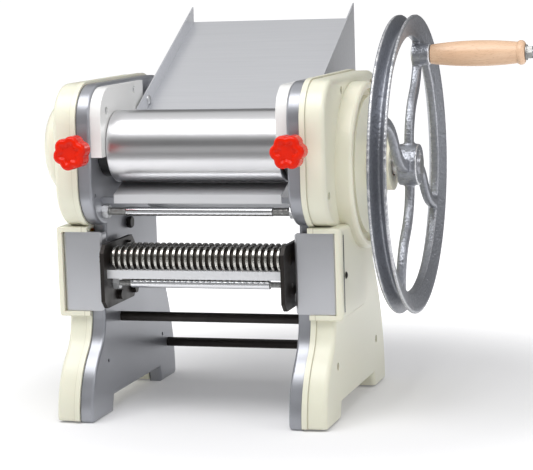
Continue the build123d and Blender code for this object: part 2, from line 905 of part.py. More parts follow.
def scraper(facing, axis, tip_z):
    """Bent scraper blade under a roller, its lip turned down on the outer side."""
    tip_y = axis[0] - facing * scraper_tip_past
    heel_y = tip_y + facing * scraper_run
    heel_z = tip_z - scraper_drop
    with BuildPart() as blade:
        with BuildSketch(across(-scraper_half)):
            with BuildLine():
                Polyline(
                    (tip_y, tip_z),
                    (heel_y, heel_z),
                    (heel_y, heel_z - scraper_lip),
                    (heel_y - facing * scraper_t, heel_z - scraper_lip),
                    (heel_y - facing * scraper_t, heel_z - scraper_t),
                    (tip_y, tip_z - scraper_t / 2),
                    close=True,
                )
            make_face()
        extrude(amount=2 * scraper_half)
    return blade


def wheel_spoke(angle):
    """One S-shaped spoke from the hub to the rim."""
    inner_r = hub_r - spoke_w / 2
    outer_r = wheel_r - rim_depth + groove_floor_w
    start = (inner_r * cos(angle), inner_r * sin(angle))
    end = (outer_r * cos(angle - spoke_sweep), outer_r * sin(angle - spoke_sweep))
    middle = ((start[0] + end[0]) / 2, (start[1] + end[1]) / 2)
    turn_angle = 2 * direction(start, end) - angle
    with BuildLine(across(wheel_x, rear_axis)) as path:
        TangentArc(start, middle, tangent=Vector(0, cos(angle), sin(angle)))
        TangentArc(middle, end, tangent=Vector(0, cos(turn_angle), sin(turn_angle)))
    return path.line


# The screws that hold the covers to the frames, heads down in the covers' recesses.
with BuildPart() as cover_screws:
    head_x = cover_x + post_floor
    for side in (-1, 1):
        for place in cover_screw_places:
            bar(side * head_x, side * (head_x + screw_head_t), screw_head_r, place)
            bar(side * (head_x - screw_length), side * head_x, screw_r, place)

# The screws that hold the cheeks to the frames.
with BuildPart() as cheek_screws:
    seat_x = roller_length / 2 + 2 * end_play + screw_head_t
    for side in (-1, 1):
        for place in cheek_screw_places:
            bar(side * (seat_x - screw_head_t), side * seat_x, screw_head_r, place)
            bar(side * seat_x, side * (frame_x + web_t), screw_r, place)

# Sliding blocks that carry the front roller in the frames' windows.
with BuildPart() as bearing_blocks:
    for side in (-1, 1):
        slab(
            side * (frame_x + end_play / 2),
            side * (cover_x - end_play / 2),
            -block_w / 2,
            block_w / 2,
            front_axis_z - block_h / 2,
            front_axis_z + block_h / 2,
        )
        bar(side * frame_x, side * cover_x, bush_nose_r, front_axis, Mode.SUBTRACT)
        with BuildSketch(Plane.XZ.offset(block_w / 2)):
            with Locations((side * knob_x, front_axis_z)):
                Circle(stud_tip_r + running_fit)
        extrude(amount=-stud_tip, mode=Mode.SUBTRACT)

# Plain bronze bushes round the roller journals: the front pair rides in the blocks.
with BuildPart() as front_bushes:
    for side, outer_end in ((-1, gear_x), (1, cover_x)):
        ring(
            side * seal_x,
            side * (outer_end - loose_fit),
            bush_nose_r - running_fit,
            journal_r + running_fit,
            front_axis,
        )

with BuildPart() as rear_bushes:
    for side in (-1, 1):
        ring(
            side * seal_x,
            side * (gear_x - loose_fit),
            bush_r - running_fit,
            journal_r + running_fit,
            rear_axis,
        )

# Black end seals: the front pair sits below the cheeks on the noses of the bushes.
with BuildPart() as front_seals:
    for side in (-1, 1):
        with BuildSketch(across(side * seal_x, front_axis)):
            Circle(seal_r)
            Circle(bush_nose_r, mode=Mode.SUBTRACT)
            with Locations((0, cheek_low_z - end_play - front_axis_z + seal_r)):
                Rectangle(2 * seal_r, 2 * seal_r, mode=Mode.SUBTRACT)
        extrude(amount=side * (frame_x - end_play / 2 - seal_x))

with BuildPart() as rear_seals:
    for side in (-1, 1):
        ring(side * seal_x, side * frame_x, rear_seal_r, bush_r, rear_axis)

# Brackets that carry the scrapers' ends from the frames.
with BuildPart() as scraper_brackets:
    for facing, axis in ((-1, front_axis), (1, rear_axis)):
        lip_y = axis[0] + facing * (scraper_run - scraper_tip_past - scraper_t)
        lip_low_z = axis[1] - roller_r - scraper_gap - scraper_drop - scraper_lip
        for side in (-1, 1):
            slab(
                side * (scraper_half - bracket_w),
                side * frame_x,
                lip_y - facing * bracket_t,
                lip_y,
                lip_low_z,
                lip_low_z + scraper_lip - 2 * scraper_t,
            )

# The two polished sheeting rollers; the rear one's shaft runs out to the handwheel.
with BuildPart() as front_roller:
    bar(-roller_length / 2, roller_length / 2, roller_r, front_axis)
    chamfer(front_roller.edges().filter_by(GeomType.CIRCLE), roller_edge)
    bar(-(gear_x + roller_gear_w + shaft_past), cover_x + shaft_past, journal_r, front_axis)

with BuildPart() as rear_roller:
    bar(-roller_length / 2, roller_length / 2, roller_r, rear_axis)
    chamfer(rear_roller.edges().filter_by(GeomType.CIRCLE), roller_edge)
    bar(-(gear_x + roller_gear_w + shaft_past), hub_x + hub_length + shaft_stub, journal_r, rear_axis)
    slab(
        hub_x,
        hub_x + hub_length + shaft_stub,
        rear_axis_y - key_w / 2 - running_fit,
        rear_axis_y + key_w / 2 + running_fit,
        rear_axis_z + journal_r - key_h / 2,
        rear_axis_z + journal_r + key_h,
        Mode.SUBTRACT,
    )

# Left side: a pair of equal gears with long teeth that stay in mesh as the gap opens.
with BuildPart() as rear_roller_gear:
    gear(
        -gear_x - roller_gear_w,
        roller_gear_w,
        roller_module,
        roller_teeth,
        rear_roller_phase,
        rear_axis,
        journal_r + running_fit,
    )

with BuildPart() as front_roller_gear:
    gear(
        -gear_x - roller_gear_w,
        roller_gear_w,
        roller_module,
        roller_teeth,
        front_roller_phase,
        front_axis,
        journal_r + running_fit,
    )

# Right side: the drive gear on the wheel shaft, the idler and the cutter gear.
with BuildPart() as drive_gear:
    gear(gear_x, train_w, train_module, drive_teeth, drive_phase, rear_axis, journal_r + running_fit)
    with BuildSketch(across(gear_x, rear_axis)):
        with PolarLocations(drive_window_pitch_r, drive_windows):
            Circle(drive_window_r)
    extrude(amount=train_w, mode=Mode.SUBTRACT)

with BuildPart() as idler_gear:
    gear(gear_x, train_w, train_module, idler_teeth, idler_phase, idler_axis, stud_r + running_fit)

with BuildPart() as cutter_gear:
    gear(
        gear_x,
        train_w,
        train_module,
        cutter_teeth,
        cutter_phase,
        rear_cutter,
        cutter_shaft_r + running_fit,
    )

# Small equal gears that couple the two cutting rolls.
with BuildPart() as rear_pair_gear:
    gear(
        -pair_x - pair_w,
        pair_w,
        pair_module,
        pair_teeth,
        0.0,
        rear_cutter,
        cutter_shaft_r + running_fit,
    )

with BuildPart() as front_pair_gear:
    gear(
        -pair_x - pair_w,
        pair_w,
        pair_module,
        pair_teeth,
        front_pair_phase,
        front_cutter,
        cutter_shaft_r + running_fit,
    )

# Pin that carries the idler, and the clips that hold the gears on their shafts.
with BuildPart() as idler_pin:
    bar(frame_x, gear_x + train_w + rod_end, stud_r, idler_axis)
    bar(cover_x, gear_x - loose_fit, stud_r + boss_rim / 2, idler_axis)

with BuildPart() as idler_clip:
    clip_x = gear_x + train_w + loose_fit
    ring(clip_x, clip_x + washer_t, stud_r + boss_rim / 2, stud_r, idler_axis)

with BuildPart() as front_roller_clip:
    clip_x = -(gear_x + roller_gear_w)
    ring(clip_x, clip_x - washer_t, journal_r + boss_rim / 2, journal_r, front_axis)

with BuildPart() as rear_roller_clip:
    ring(clip_x, clip_x - washer_t, journal_r + boss_rim / 2, journal_r, rear_axis)

# Grooved cutting rolls, whose discs stand in each other's grooves.
cutter_left = pair_x + pair_w
front_cutting_roll = cutting_roll(front_cutter, cutter_left, plate_x + plate_t, cutter_discs + 1)
rear_cutting_roll = cutting_roll(rear_cutter, cutter_left, gear_x + train_w + rod_end, cutter_discs)

# Rod, bright sleeve, nuts, spacers and bolts of the cutting cassette.
with BuildPart() as cassette_rod_piece:
    bar(-(plate_x + plate_t), plate_x + plate_t, cassette_bolt_r, cassette_rod)

with BuildPart() as cassette_sleeve:
    ring(
        -cassette_sleeve_half,
        cassette_sleeve_half,
        sleeve_r,
        cassette_bolt_r + running_fit,
        cassette_rod,
    )

with BuildPart() as cassette_nuts:
    for side in (-1, 1):
        hex_nut(
            side * (plate_x - nut_t),
            side * plate_x,
            cassette_nut_r,
            cassette_bolt_r + running_fit,
            cassette_rod,
        )

with BuildPart() as cassette_spacers:
    for side in (-1, 1):
        for place in cassette_bolt_places:
            ring(
                side * (plate_x + plate_t),
                side * frame_x,
                cassette_bolt_r + boss_rim / 2,
                cassette_bolt_r + running_fit,
                place,
            )

with BuildPart() as cassette_bolts:
    for side in (-1, 1):
        for place in cassette_bolt_places:
            hex_nut(side * (plate_x - rod_end), side * plate_x, cassette_head_r, cassette_bolt_r, place)
            bar(side * (plate_x - rod_end), side * (cover_x - end_play), cassette_bolt_r, place)

# Front tie rod with its bright sleeve.
with BuildPart() as front_tie_rod:
    bar(-tie_end_x, tie_end_x, rod_r, tie_places[0])

with BuildPart() as front_tie_sleeve:
    ring(-sleeve_half, sleeve_half, sleeve_r, rod_r + running_fit, tie_places[0])

# Round tie bars, stepped down at both ends where they pass through the frames.
with BuildPart() as lower_tie_bar:
    bar(-frame_x, frame_x, bar_r, tie_places[1])
    bar(-tie_end_x, tie_end_x, rod_r, tie_places[1])

with BuildPart() as rear_tie_bars:
    for place in tie_places[2:]:
        bar(-frame_x, frame_x, bar_r, place)
        bar(-tie_end_x, tie_end_x, rod_r, place)

# Nuts outside the frames on every tie bar, and inside on the front rod.
with BuildPart() as tie_nuts:
    for side in (-1, 1):
        hex_nut(side * (frame_x - nut_t), side * frame_x, nut_r, rod_r + running_fit, tie_places[0])
        for place in tie_places:
            hex_nut(side * cover_x, side * (cover_x + nut_t), nut_r, rod_r + running_fit, place)

# Sloping sheet-metal tray whose side walls are screwed to the frames.
with BuildPart() as feed_tray:
    for side in (-1, 1):
        with BuildSketch(across(side * tray_half_w)):
            with BuildLine():
                Polyline(
                    (tray_front_y, tray_front_z - tray_toe),
                    (tray_front_y, tray_front_z),
                    (tray_rear_y, tray_top_z),
                    (tray_rear_y, tray_front_z + tray_heel_rise),
                    close=True,
                )
            make_face()
            for y, z in tray_screw_places:
                with Locations((y, z)):
                    SlotOverall(tray_slot, 2 * (tray_screw_r + loose_fit), mode=Mode.SUBTRACT)
        extrude(amount=-side * tray_t)
    floor_y = tray_front_y + tray_floor_back
    floor_z = tray_front_z + tray_floor_back * tan(tray_slope) - tray_wall
    with BuildSketch(across(-tray_half_w)):
        with BuildLine():
            Polyline(
                (floor_y, floor_z),
                (tray_rear_y, tray_top_z - tray_wall),
                (tray_rear_y, tray_top_z - tray_wall - tray_t),
                (floor_y, floor_z - tray_t),
                close=True,
            )
        make_face()
    extrude(amount=2 * tray_half_w)

with BuildPart() as tray_spacers:
    for side in (-1, 1):
        for place in tray_screw_places:
            ring(
                side * tray_half_w,
                side * frame_x,
                tray_screw_r + boss_rim / 2,
                tray_screw_r + running_fit,
                place,
            )

with BuildPart() as tray_screws:
    for side in (-1, 1):
        for place in tray_screw_places:
            head_x = tray_half_w - tray_t
            bar(side * (head_x - screw_head_t), side * head_x, tray_screw_r + boss_rim / 2, place)
            bar(side * head_x, side * (frame_x + web_t), tray_screw_r, place)

# Cast handwheel: grooved rim, curved spokes, keyed hub and a boss for the handle.
with BuildPart() as handwheel:
    with BuildSketch(Plane((wheel_x, *rear_axis), x_dir=(1, 0, 0), z_dir=(0, -1, 0))):
        half_w = wheel_w / 2
        half_mouth = groove_mouth_w / 2
        inner_r = wheel_r - rim_depth
        with BuildLine():
            Polyline(
                (-half_w, wheel_r - crest_r),
                (-half_w + crest_r, wheel_r),
                (-half_mouth, wheel_r),
                (-groove_floor_w / 2, wheel_r - groove_depth),
                (groove_floor_w / 2, wheel_r - groove_depth),
                (half_mouth, wheel_r),
                (half_w - crest_r, wheel_r),
                (half_w, wheel_r - crest_r),
                (half_w - rim_lean, inner_r),
                (-half_w + rim_lean, inner_r),
                close=True,
            )
        make_face()
    revolve(axis=Axis((0, *rear_axis), (1, 0, 0)))
    bar(hub_x, hub_x + hub_length, hub_r, rear_axis)
    for spoke in range(spoke_count):
        centre_line = wheel_spoke(pi / 2 + spoke * 2 * pi / spoke_count)
        start_plane = Plane(centre_line @ 0, x_dir=(1, 0, 0), z_dir=centre_line % 0)
        with BuildSketch(start_plane):
            RectangleRounded(spoke_t, spoke_w, spoke_corner_r)
        sweep(path=centre_line)
    bar(wheel_x - spoke_t / 2, handle_boss_x, handle_boss_r, handle_axis)
    hub_ends = (hub_x - cut_over, hub_x + hub_length + cut_over)
    bar(*hub_ends, journal_r + running_fit, rear_axis, Mode.SUBTRACT)
    bolt_hole_r = handle_bolt_r + running_fit
    bar(wheel_x, handle_boss_x + cut_over, bolt_hole_r, handle_axis, Mode.SUBTRACT)
    slab(
        *hub_ends,
        rear_axis_y - key_w / 2 - running_fit,
        rear_axis_y + key_w / 2 + running_fit,
        rear_axis_z,
        rear_axis_z + journal_r + key_h / 2 + running_fit,
        Mode.SUBTRACT,
    )

with BuildPart() as wheel_key:
    slab(
        hub_x,
        hub_x + hub_length,
        rear_axis_y - key_w / 2,
        rear_axis_y + key_w / 2,
        rear_axis_z + journal_r - key_h / 2,
        rear_axis_z + journal_r + key_h / 2,
    )

# Crank handle: a bolt in the wheel's boss, a turned grip that spins on it, washer and nut.
with BuildPart() as handle_bolt:
    bar(wheel_x, handle_end_x, handle_bolt_r, handle_axis)

with BuildPart() as handle_nut:
    washer_x = grip_end_x + end_play
    washer_r = handle_nut_r + washer_rim
    ring(washer_x, washer_x + washer_t, washer_r, handle_bolt_r + running_fit, handle_axis)
    hex_nut(
        washer_x + washer_t,
        washer_x + washer_t + handle_nut_t,
        handle_nut_r,
        handle_bolt_r + running_fit,
        handle_axis,
    )

with BuildPart() as handle_grip:
    with BuildSketch(Plane((grip_x, *handle_axis), x_dir=(1, 0, 0), z_dir=(0, -1, 0))):
        bead_x = grip_length - grip_bead
        bore_r = handle_bolt_r + running_fit
        with BuildLine():
            Line((0, bore_r), (0, grip_neck_r))
            ThreePointArc((0, grip_neck_r), (bead_x / 2, grip_belly_r), (bead_x, grip_tail_r))
            ThreePointArc(
                (bead_x, grip_tail_r),
                (bead_x + grip_bead / 2, grip_tail_r + grip_bead_rise),
                (grip_length, grip_tail_r - grip_bead_rise),
            )
            Line((grip_length, grip_tail_r - grip_bead_rise), (grip_length, bore_r))
            Line((grip_length, bore_r), (0, bore_r))
        make_face()
    revolve(axis=Axis((0, *handle_axis), (1, 0, 0)))

for side, name in ((-1, "left"), (1, "right")):
    save(side_frame(side), f"{name}_side_frame")
    save(side_cover(side), f"{name}_cover")
    save(fascia(side), f"{name}_fascia")
    save(cheek(side), f"{name}_cheek")
    save(gap_knob(side), f"{name}_gap_knob")
    save(gap_stud(side), f"{name}_gap_stud")
    save(cassette_plate(side), f"{name}_cassette_plate")

save(cover_screws, "cover_screws")
save(cheek_screws, "cheek_screws")
save(bearing_blocks, "bearing_blocks")
save(front_bushes, "front_roller_bushes")
save(rear_bushes, "rear_roller_bushes")
save(front_seals, "front_roller_seals")
save(rear_seals, "rear_roller_seals")
save(front_roller, "front_roller")
save(rear_roller, "rear_roller")
save(front_roller_gear, "front_roller_gear")
save(rear_roller_gear, "rear_roller_gear")
save(front_roller_clip, "front_roller_clip")
save(rear_roller_clip, "rear_roller_clip")
save(drive_gear, "drive_gear")
save(idler_gear, "idler_gear")
save(idler_pin, "idler_pin")
save(idler_clip, "idler_clip")
save(cutter_gear, "cutter_gear")
save(front_pair_gear, "front_cutter_pair_gear")
save(rear_pair_gear, "rear_cutter_pair_gear")
save(front_cutting_roll, "front_cutting_roll")
save(rear_cutting_roll, "rear_cutting_roll")
save(comb(-1, front_cutter_y, cutter_discs), "front_comb")
save(comb(1, rear_cutter_y, cutter_discs - 1), "rear_comb")
save(cassette_rod_piece, "cassette_tie_rod")
save(cassette_sleeve, "cassette_tie_sleeve")
save(cassette_nuts, "cassette_tie_nuts")
save(cassette_spacers, "cassette_spacers")
save(cassette_bolts, "cassette_bolts")
save(front_tie_rod, "front_tie_rod")
save(front_tie_sleeve, "front_tie_sleeve")
save(tie_nuts, "tie_bar_nuts")
save(lower_tie_bar, "lower_tie_bar")
save(rear_tie_bars, "rear_tie_bars")
save(scraper(-1, front_axis, front_tip_z), "front_scraper")
save(scraper(1, rear_axis, rear_tip_z), "rear_scraper")
save(scraper_brackets, "scraper_brackets")
save(feed_tray, "feed_tray")
save(tray_spacers, "tray_spacers")
save(tray_screws, "tray_screws")
save(handwheel, "handwheel")
save(wheel_key, "wheel_key")
save(handle_bolt, "handle_bolt")
save(handle_nut, "handle_nut")
save(handle_grip, "handle_grip")
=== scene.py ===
"""Looks of the hand-cranked noodle machine, in metres, with +Z up and +Y to the back."""

import json
from math import atan2, cos, pi, radians, sin

import bmesh
import bpy
from mathutils import Matrix, Vector

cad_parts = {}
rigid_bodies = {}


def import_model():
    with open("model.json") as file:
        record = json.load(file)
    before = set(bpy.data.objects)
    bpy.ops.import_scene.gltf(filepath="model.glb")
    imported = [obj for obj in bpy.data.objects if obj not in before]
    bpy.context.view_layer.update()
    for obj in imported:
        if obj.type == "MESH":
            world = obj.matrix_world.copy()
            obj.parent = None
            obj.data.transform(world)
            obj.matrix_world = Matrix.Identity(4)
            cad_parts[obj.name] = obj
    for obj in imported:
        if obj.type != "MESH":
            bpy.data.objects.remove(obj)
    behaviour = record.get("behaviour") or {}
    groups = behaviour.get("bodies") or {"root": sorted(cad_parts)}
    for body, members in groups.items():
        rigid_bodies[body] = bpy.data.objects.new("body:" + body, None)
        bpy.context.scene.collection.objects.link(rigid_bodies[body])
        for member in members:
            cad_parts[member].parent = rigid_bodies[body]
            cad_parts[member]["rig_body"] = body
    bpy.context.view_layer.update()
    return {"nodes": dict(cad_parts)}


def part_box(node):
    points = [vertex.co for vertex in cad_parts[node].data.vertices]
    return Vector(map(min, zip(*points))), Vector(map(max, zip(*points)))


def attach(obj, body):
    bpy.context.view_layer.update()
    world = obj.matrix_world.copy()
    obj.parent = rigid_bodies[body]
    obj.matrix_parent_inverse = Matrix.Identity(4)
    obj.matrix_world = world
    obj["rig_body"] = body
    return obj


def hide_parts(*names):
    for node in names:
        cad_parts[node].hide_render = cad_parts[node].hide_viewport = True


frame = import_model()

# The table: a white paper sheet that runs out of sight under the machine and is not part of it.
# It glows a little more further out, so that only the contact shadows show on it.
floor_half = 30.0
floor_white = (0.70, 0.70, 0.71, 1)
glow_near, glow_far = 0.15, 0.66
glow_start, glow_full = 0.24, 0.60


def put(name, data):
    """New object in the scene, at the origin."""
    thing = bpy.data.objects.new(name, data)
    bpy.context.scene.collection.objects.link(thing)
    return thing


def sheet(name, corners, finish):
    """Flat four-cornered piece of the studio."""
    mesh = bpy.data.meshes.new(name)
    mesh.from_pydata(corners, [], [(0, 1, 2, 3)])
    mesh.materials.append(finish)
    return put(name, mesh)


def step(tree, kind, inputs, **settings):
    """First output of a new node; each input is a value or another node's output."""
    node = tree.nodes.new(kind)
    for setting, value in settings.items():
        setattr(node, setting, value)
    for socket, value in inputs.items():
        if isinstance(value, bpy.types.NodeSocket):
            tree.links.new(value, node.inputs[socket])
        else:
            node.inputs[socket].default_value = value
    return node.outputs[0]


def new_finish(name):
    """Finish with a plain shader, its tree, and the place on the piece that its patterns follow."""
    finish = bpy.data.materials.new(name)
    finish.use_nodes = True
    tree = finish.node_tree
    return finish, tree, step(tree, "ShaderNodeTexCoord", {}).node.outputs["Object"]


table_paper, paper_tree, paper_place = new_finish("table_paper")
paper_reach = step(paper_tree, "ShaderNodeVectorMath", {0: paper_place}, operation="LENGTH")
paper_glow = step(
    paper_tree, "ShaderNodeMapRange",
    {"Value": paper_reach.node.outputs["Value"], "From Min": glow_start, "From Max": glow_full,
     "To Min": glow_near, "To Max": glow_far},
    interpolation_type="SMOOTHSTEP",
)
paper = paper_tree.nodes["Principled BSDF"]
paper.inputs["Base Color"].default_value = floor_white
paper.inputs["Roughness"].default_value = 0.9
paper.inputs["Specular IOR Level"].default_value = 0.1
paper.inputs["Emission Color"].default_value = (1, 1, 1, 1)
paper_tree.links.new(paper_glow, paper.inputs["Emission Strength"])
table = sheet(
    "table",
    [(-floor_half, -floor_half, 0), (floor_half, -floor_half, 0),
     (floor_half, floor_half, 0), (-floor_half, floor_half, 0)],
    table_paper,
)

# Studio light: a bright sky that darkens to the horizon, one large soft box above the front and smaller
# ones at the sides. Cards in front, behind and on the floor show only in polished metal.
machine_middle = Vector((-0.05, -0.06, 0.2))
horizon, haze, zenith = (0.30, 0.30, 0.31, 1), (0.66, 0.66, 0.67, 1), (1.0, 1.0, 1.0, 1)
horizon_height, haze_height, zenith_height = 0.08, 0.38, 0.80
backdrop = (1.5, 1.5, 1.5, 1)
sky_strength = 0.70
card_half, card_front = 1.6, -0.56
strip_z, strip_near, strip_far, strip_shade = 0.012, -0.42, -0.72, 0.34


def blend(tree, amount, first, second):
    """Colour between two others, each a value or another node's output."""
    mix = step(tree, "ShaderNodeMix", {"Factor": amount, 6: first, 7: second}, data_type="RGBA").node
    return mix.outputs[2]


sky = bpy.data.worlds.new("studio")
sky.use_nodes = True
bpy.context.scene.world = sky
bpy.context.scene.view_settings.view_transform = "Standard"
sky_tree = sky.node_tree
skyward = step(sky_tree, "ShaderNodeTexCoord", {}).node.outputs["Generated"]
sky_height = step(sky_tree, "ShaderNodeSeparateXYZ", {0: skyward}).node.outputs["Z"]
gradient = step(sky_tree, "ShaderNodeValToRGB", {"Fac": sky_height})
stops = gradient.node.color_ramp.elements
stops[0].position, stops[0].color = horizon_height, horizon
stops[1].position, stops[1].color = zenith_height, zenith
stops.new(haze_height).color = haze
looked_at = step(sky_tree, "ShaderNodeLightPath", {}).node.outputs["Is Camera Ray"]
background = sky_tree.nodes["Background"]
background.inputs["Strength"].default_value = sky_strength
sky_tree.links.new(blend(sky_tree, looked_at, gradient, backdrop), background.inputs["Color"])


def soft_box(name, place, width, height, power):
    """Rectangular area light that looks at the middle of the machine."""
    data = bpy.data.lights.new(name, "AREA")
    data.shape = "RECTANGLE"
    data.size, data.size_y = width, height
    data.energy = power
    lamp = put(name, data)
    lamp.location = place
    lamp.rotation_mode = "QUATERNION"
    lamp.rotation_quaternion = (machine_middle - lamp.location).to_track_quat("-Z", "Y")


soft_box("overhead", Vector((-0.25, -0.75, 1.55)), width=1.7, height=0.9, power=19)
soft_box("right_side", Vector((1.7, -0.7, 0.9)), width=0.9, height=1.2, power=6)
soft_box("left_side", Vector((-1.6, -0.2, 0.9)), width=0.8, height=1.2, power=2.5)


def reflector(name, corners, shade):
    """Card seen only in reflections."""
    finish = bpy.data.materials.new(name)
    finish.use_nodes = True
    board = finish.node_tree.nodes["Principled BSDF"]
    board.inputs["Base Color"].default_value = (0, 0, 0, 1)
    board.inputs["Specular IOR Level"].default_value = 0
    board.inputs["Emission Color"].default_value = (shade, shade, shade, 1)
    board.inputs["Emission Strength"].default_value = 1
    card = sheet(name, corners, finish)
    card.visible_camera = False
    card.visible_diffuse = False
    card.visible_shadow = False


for card_name, card_left, card_right, card_y, card_low, card_high, card_shade in (
    ("front_skirt", -card_half, card_half, card_front, 0.080, 0.145, 0.12),
    ("front_grey", -card_half, card_half, card_front, 0.145, 0.285, 0.50),
    ("front_dark", -card_half, card_half, card_front, 0.285, 0.500, 0.10),
    ("front_half", -card_half, card_half, card_front, 0.500, 0.600, 0.32),
    ("back_dark", -card_half, card_half, 0.80, 0.450, 1.150, 0.12),
    ("wheel_dark", 0.20, 1.00, 0.95, 0.002, 0.450, 0.10),
):
    reflector(
        card_name,
        [(card_left, card_y, card_low), (card_right, card_y, card_low),
         (card_right, card_y, card_high), (card_left, card_y, card_high)],
        card_shade,
    )
reflector(
    "floor_grey",
    [(-card_half, strip_far, strip_z), (card_half, strip_far, strip_z),
     (card_half, strip_near, strip_z), (-card_half, strip_near, strip_z)],
    strip_shade,
)

# The camera stands where the photograph was taken from: a little above the machine and to its right,
# with a long lens and a slight roll.
photo_width = 533
focal_pixels = 1950
sensor_width = 36
camera_yaw, camera_pitch, camera_roll = radians(16.36), radians(7.51), radians(-1.78)
camera_distance = 1.957
camera_target = Vector((-0.01585, -0.093, 0.1832))

ahead = Vector((
    -sin(camera_yaw) * cos(camera_pitch), cos(camera_yaw) * cos(camera_pitch), -sin(camera_pitch),
))
level_right = Vector((cos(camera_yaw), sin(camera_yaw), 0))
level_up = level_right.cross(ahead)
right = cos(camera_roll) * level_right + sin(camera_roll) * level_up
up = -sin(camera_roll) * level_right + cos(camera_roll) * level_up
camera_data = bpy.data.cameras.new("camera")
camera_data.sensor_width = sensor_width
camera_data.lens = focal_pixels / photo_width * sensor_width
camera = put("camera", camera_data)
camera_turn = Matrix((right, up, -ahead)).transposed().to_4x4()
camera.matrix_world = Matrix.Translation(camera_target - camera_distance * ahead) @ camera_turn
bpy.context.scene.camera = camera

# Side frames: two cast plates, thick at the rim and stove-enamelled in a satin grey.
# Everything else on the machine hangs between them or is screwed to their outsides, and a thin band of
# painted shade darkens them where the covers meet them, standing for the shadow in that gap.
nodes = frame["nodes"]
mm = 0.001
joint_shadow, joint_reach = (0.010, 0.009, 0.007), 1.4 * mm


def coat(finish, colour, gloss, relief, **sockets):
    """Wire a finish's shader and set what stays the same all over it."""
    tree = finish.node_tree
    shader = tree.nodes["Principled BSDF"]
    tree.links.new(colour, shader.inputs["Base Color"])
    tree.links.new(gloss, shader.inputs["Roughness"])
    tree.links.new(relief, shader.inputs["Normal"])
    for socket, value in sockets.items():
        shader.inputs[socket.replace("_", " ")].default_value = value


def mottled(name, light, dark, grain, roughness, bump, stretch=(1, 1, 1), **sockets):
    """Finish whose colour, gloss and surface wander a little, as a real coat or metal does.

    The bump is its grain, its strength and its height in millimetres.
    """
    glossy, dull = roughness
    bump_grain, bump_strength, bump_height = bump
    finish, tree, place = new_finish(name)
    lay = step(tree, "ShaderNodeMapping", {"Vector": place, "Scale": stretch})
    cloud = step(tree, "ShaderNodeTexNoise", {"Vector": lay, "Scale": grain, "Detail": 6})
    gloss = step(
        tree, "ShaderNodeMapRange",
        {"Value": cloud, "From Min": 0.3, "From Max": 0.7, "To Min": glossy, "To Max": dull},
    )
    fine = step(tree, "ShaderNodeTexNoise", {"Vector": lay, "Scale": bump_grain, "Detail": 2})
    relief = step(
        tree, "ShaderNodeBump",
        {"Height": fine, "Strength": bump_strength, "Distance": bump_height * mm},
    )
    coat(finish, blend(tree, cloud, (*light, 1), (*dark, 1)), gloss, relief, **sockets)
    return finish


def painted_shade_band(finish, axis, middle, reach, shade_colour):
    """Paint shade into a finish across one axis, fully at the middle and fading out over the reach."""
    tree = finish.node_tree
    colour = tree.nodes["Principled BSDF"].inputs["Base Color"]
    unshaded = colour.links[0].from_socket
    place = step(tree, "ShaderNodeTexCoord", {}).node.outputs["Object"]
    along = step(tree, "ShaderNodeSeparateXYZ", {0: place}).node.outputs[axis]
    away = step(tree, "ShaderNodeMath", {0: along, 1: middle}, operation="SUBTRACT")
    distance = step(tree, "ShaderNodeMath", {0: away}, operation="ABSOLUTE")
    amount = step(tree, "ShaderNodeMapRange", {"Value": distance, "From Min": reach, "From Max": 0.0})
    tree.links.new(blend(tree, amount, unshaded, (*shade_colour, 1)), colour)


def dress(finish, *names):
    """Give carried-over parts their finish."""
    for name in names:
        part = nodes[name]
        part.data.materials.clear()
        part.data.materials.append(finish)


grey_enamel = mottled(
    "grey_enamel", (0.372, 0.382, 0.413), (0.332, 0.342, 0.373), grain=11, roughness=(0.28, 0.33),
    bump=(2200, 0.05, 0.02), Metallic=0.60, Coat_Weight=0.2, Coat_Roughness=0.25,
)
# Painted shade: each frame's enamel darkens in a thin band at its outer face, for the shadow where the
# covers meet it.
painted_shade_band(grey_enamel, "X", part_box("left_side_frame")[0][0], joint_reach, joint_shadow)
painted_shade_band(grey_enamel, "X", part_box("right_side_frame")[1][0], joint_reach, joint_shadow)
dress(grey_enamel, "left_side_frame", "right_side_frame")

# Tie rods and bars: the front rod is zinc-plated, threaded at both ends and runs in a polished sleeve,
# and the others are black. All pass through the frames and are drawn up with chamfered hexagon nuts.
# A black bolt shows its head on the inside of each frame.
weld_gap = 0.001 * mm
nut_sharp, nut_chamfer = radians(25), 1.06
thread_sharp, ridge_share = radians(30), 0.42
front_rod_pitch = 1.25 * mm
bolt_head, bolt_corner, bolt_crown = 5 * mm, 6.4 * mm, 6.3 * mm
bolt_y, bolt_z, bolt_turn = -41.4 * mm, 189 * mm, 0.4


def welded(mesh):
    """Editable form of a part's mesh with its loose triangles joined."""
    form = bmesh.new()
    form.from_mesh(mesh)
    bmesh.ops.remove_doubles(form, verts=form.verts, dist=weld_gap)
    return form


def solids(name):
    """Lowest and highest corner of each separate solid of a part, in metres."""
    form = welded(nodes[name].data)
    boxes = []
    unseen = set(form.verts)
    while unseen:
        queue = [unseen.pop()]
        island = []
        while queue:
            vert = queue.pop()
            island.append(vert.co.copy())
            for edge in vert.link_edges:
                other = edge.other_vert(vert)
                if other in unseen:
                    unseen.remove(other)
                    queue.append(other)
        lowest = Vector([min(spot[axis] for spot in island) for axis in range(3)])
        highest = Vector([max(spot[axis] for spot in island) for axis in range(3)])
        boxes.append((lowest, highest))
    form.free()
    return sorted(boxes, key=lambda box: tuple(box[0]))


def new_tree(name, *sizes):
    """Empty tree that takes points, named sizes and a finish."""
    tree = bpy.data.node_groups.new(name, "GeometryNodeTree")
    tree.interface.new_socket("Geometry", in_out="INPUT", socket_type="NodeSocketGeometry")
    for size in sizes:
        tree.interface.new_socket(size, in_out="INPUT", socket_type="NodeSocketFloat")
    tree.interface.new_socket("Finish", in_out="INPUT", socket_type="NodeSocketMaterial")
    tree.interface.new_socket("Geometry", in_out="OUTPUT", socket_type="NodeSocketGeometry")
    return tree, tree.nodes.new("NodeGroupInput").outputs


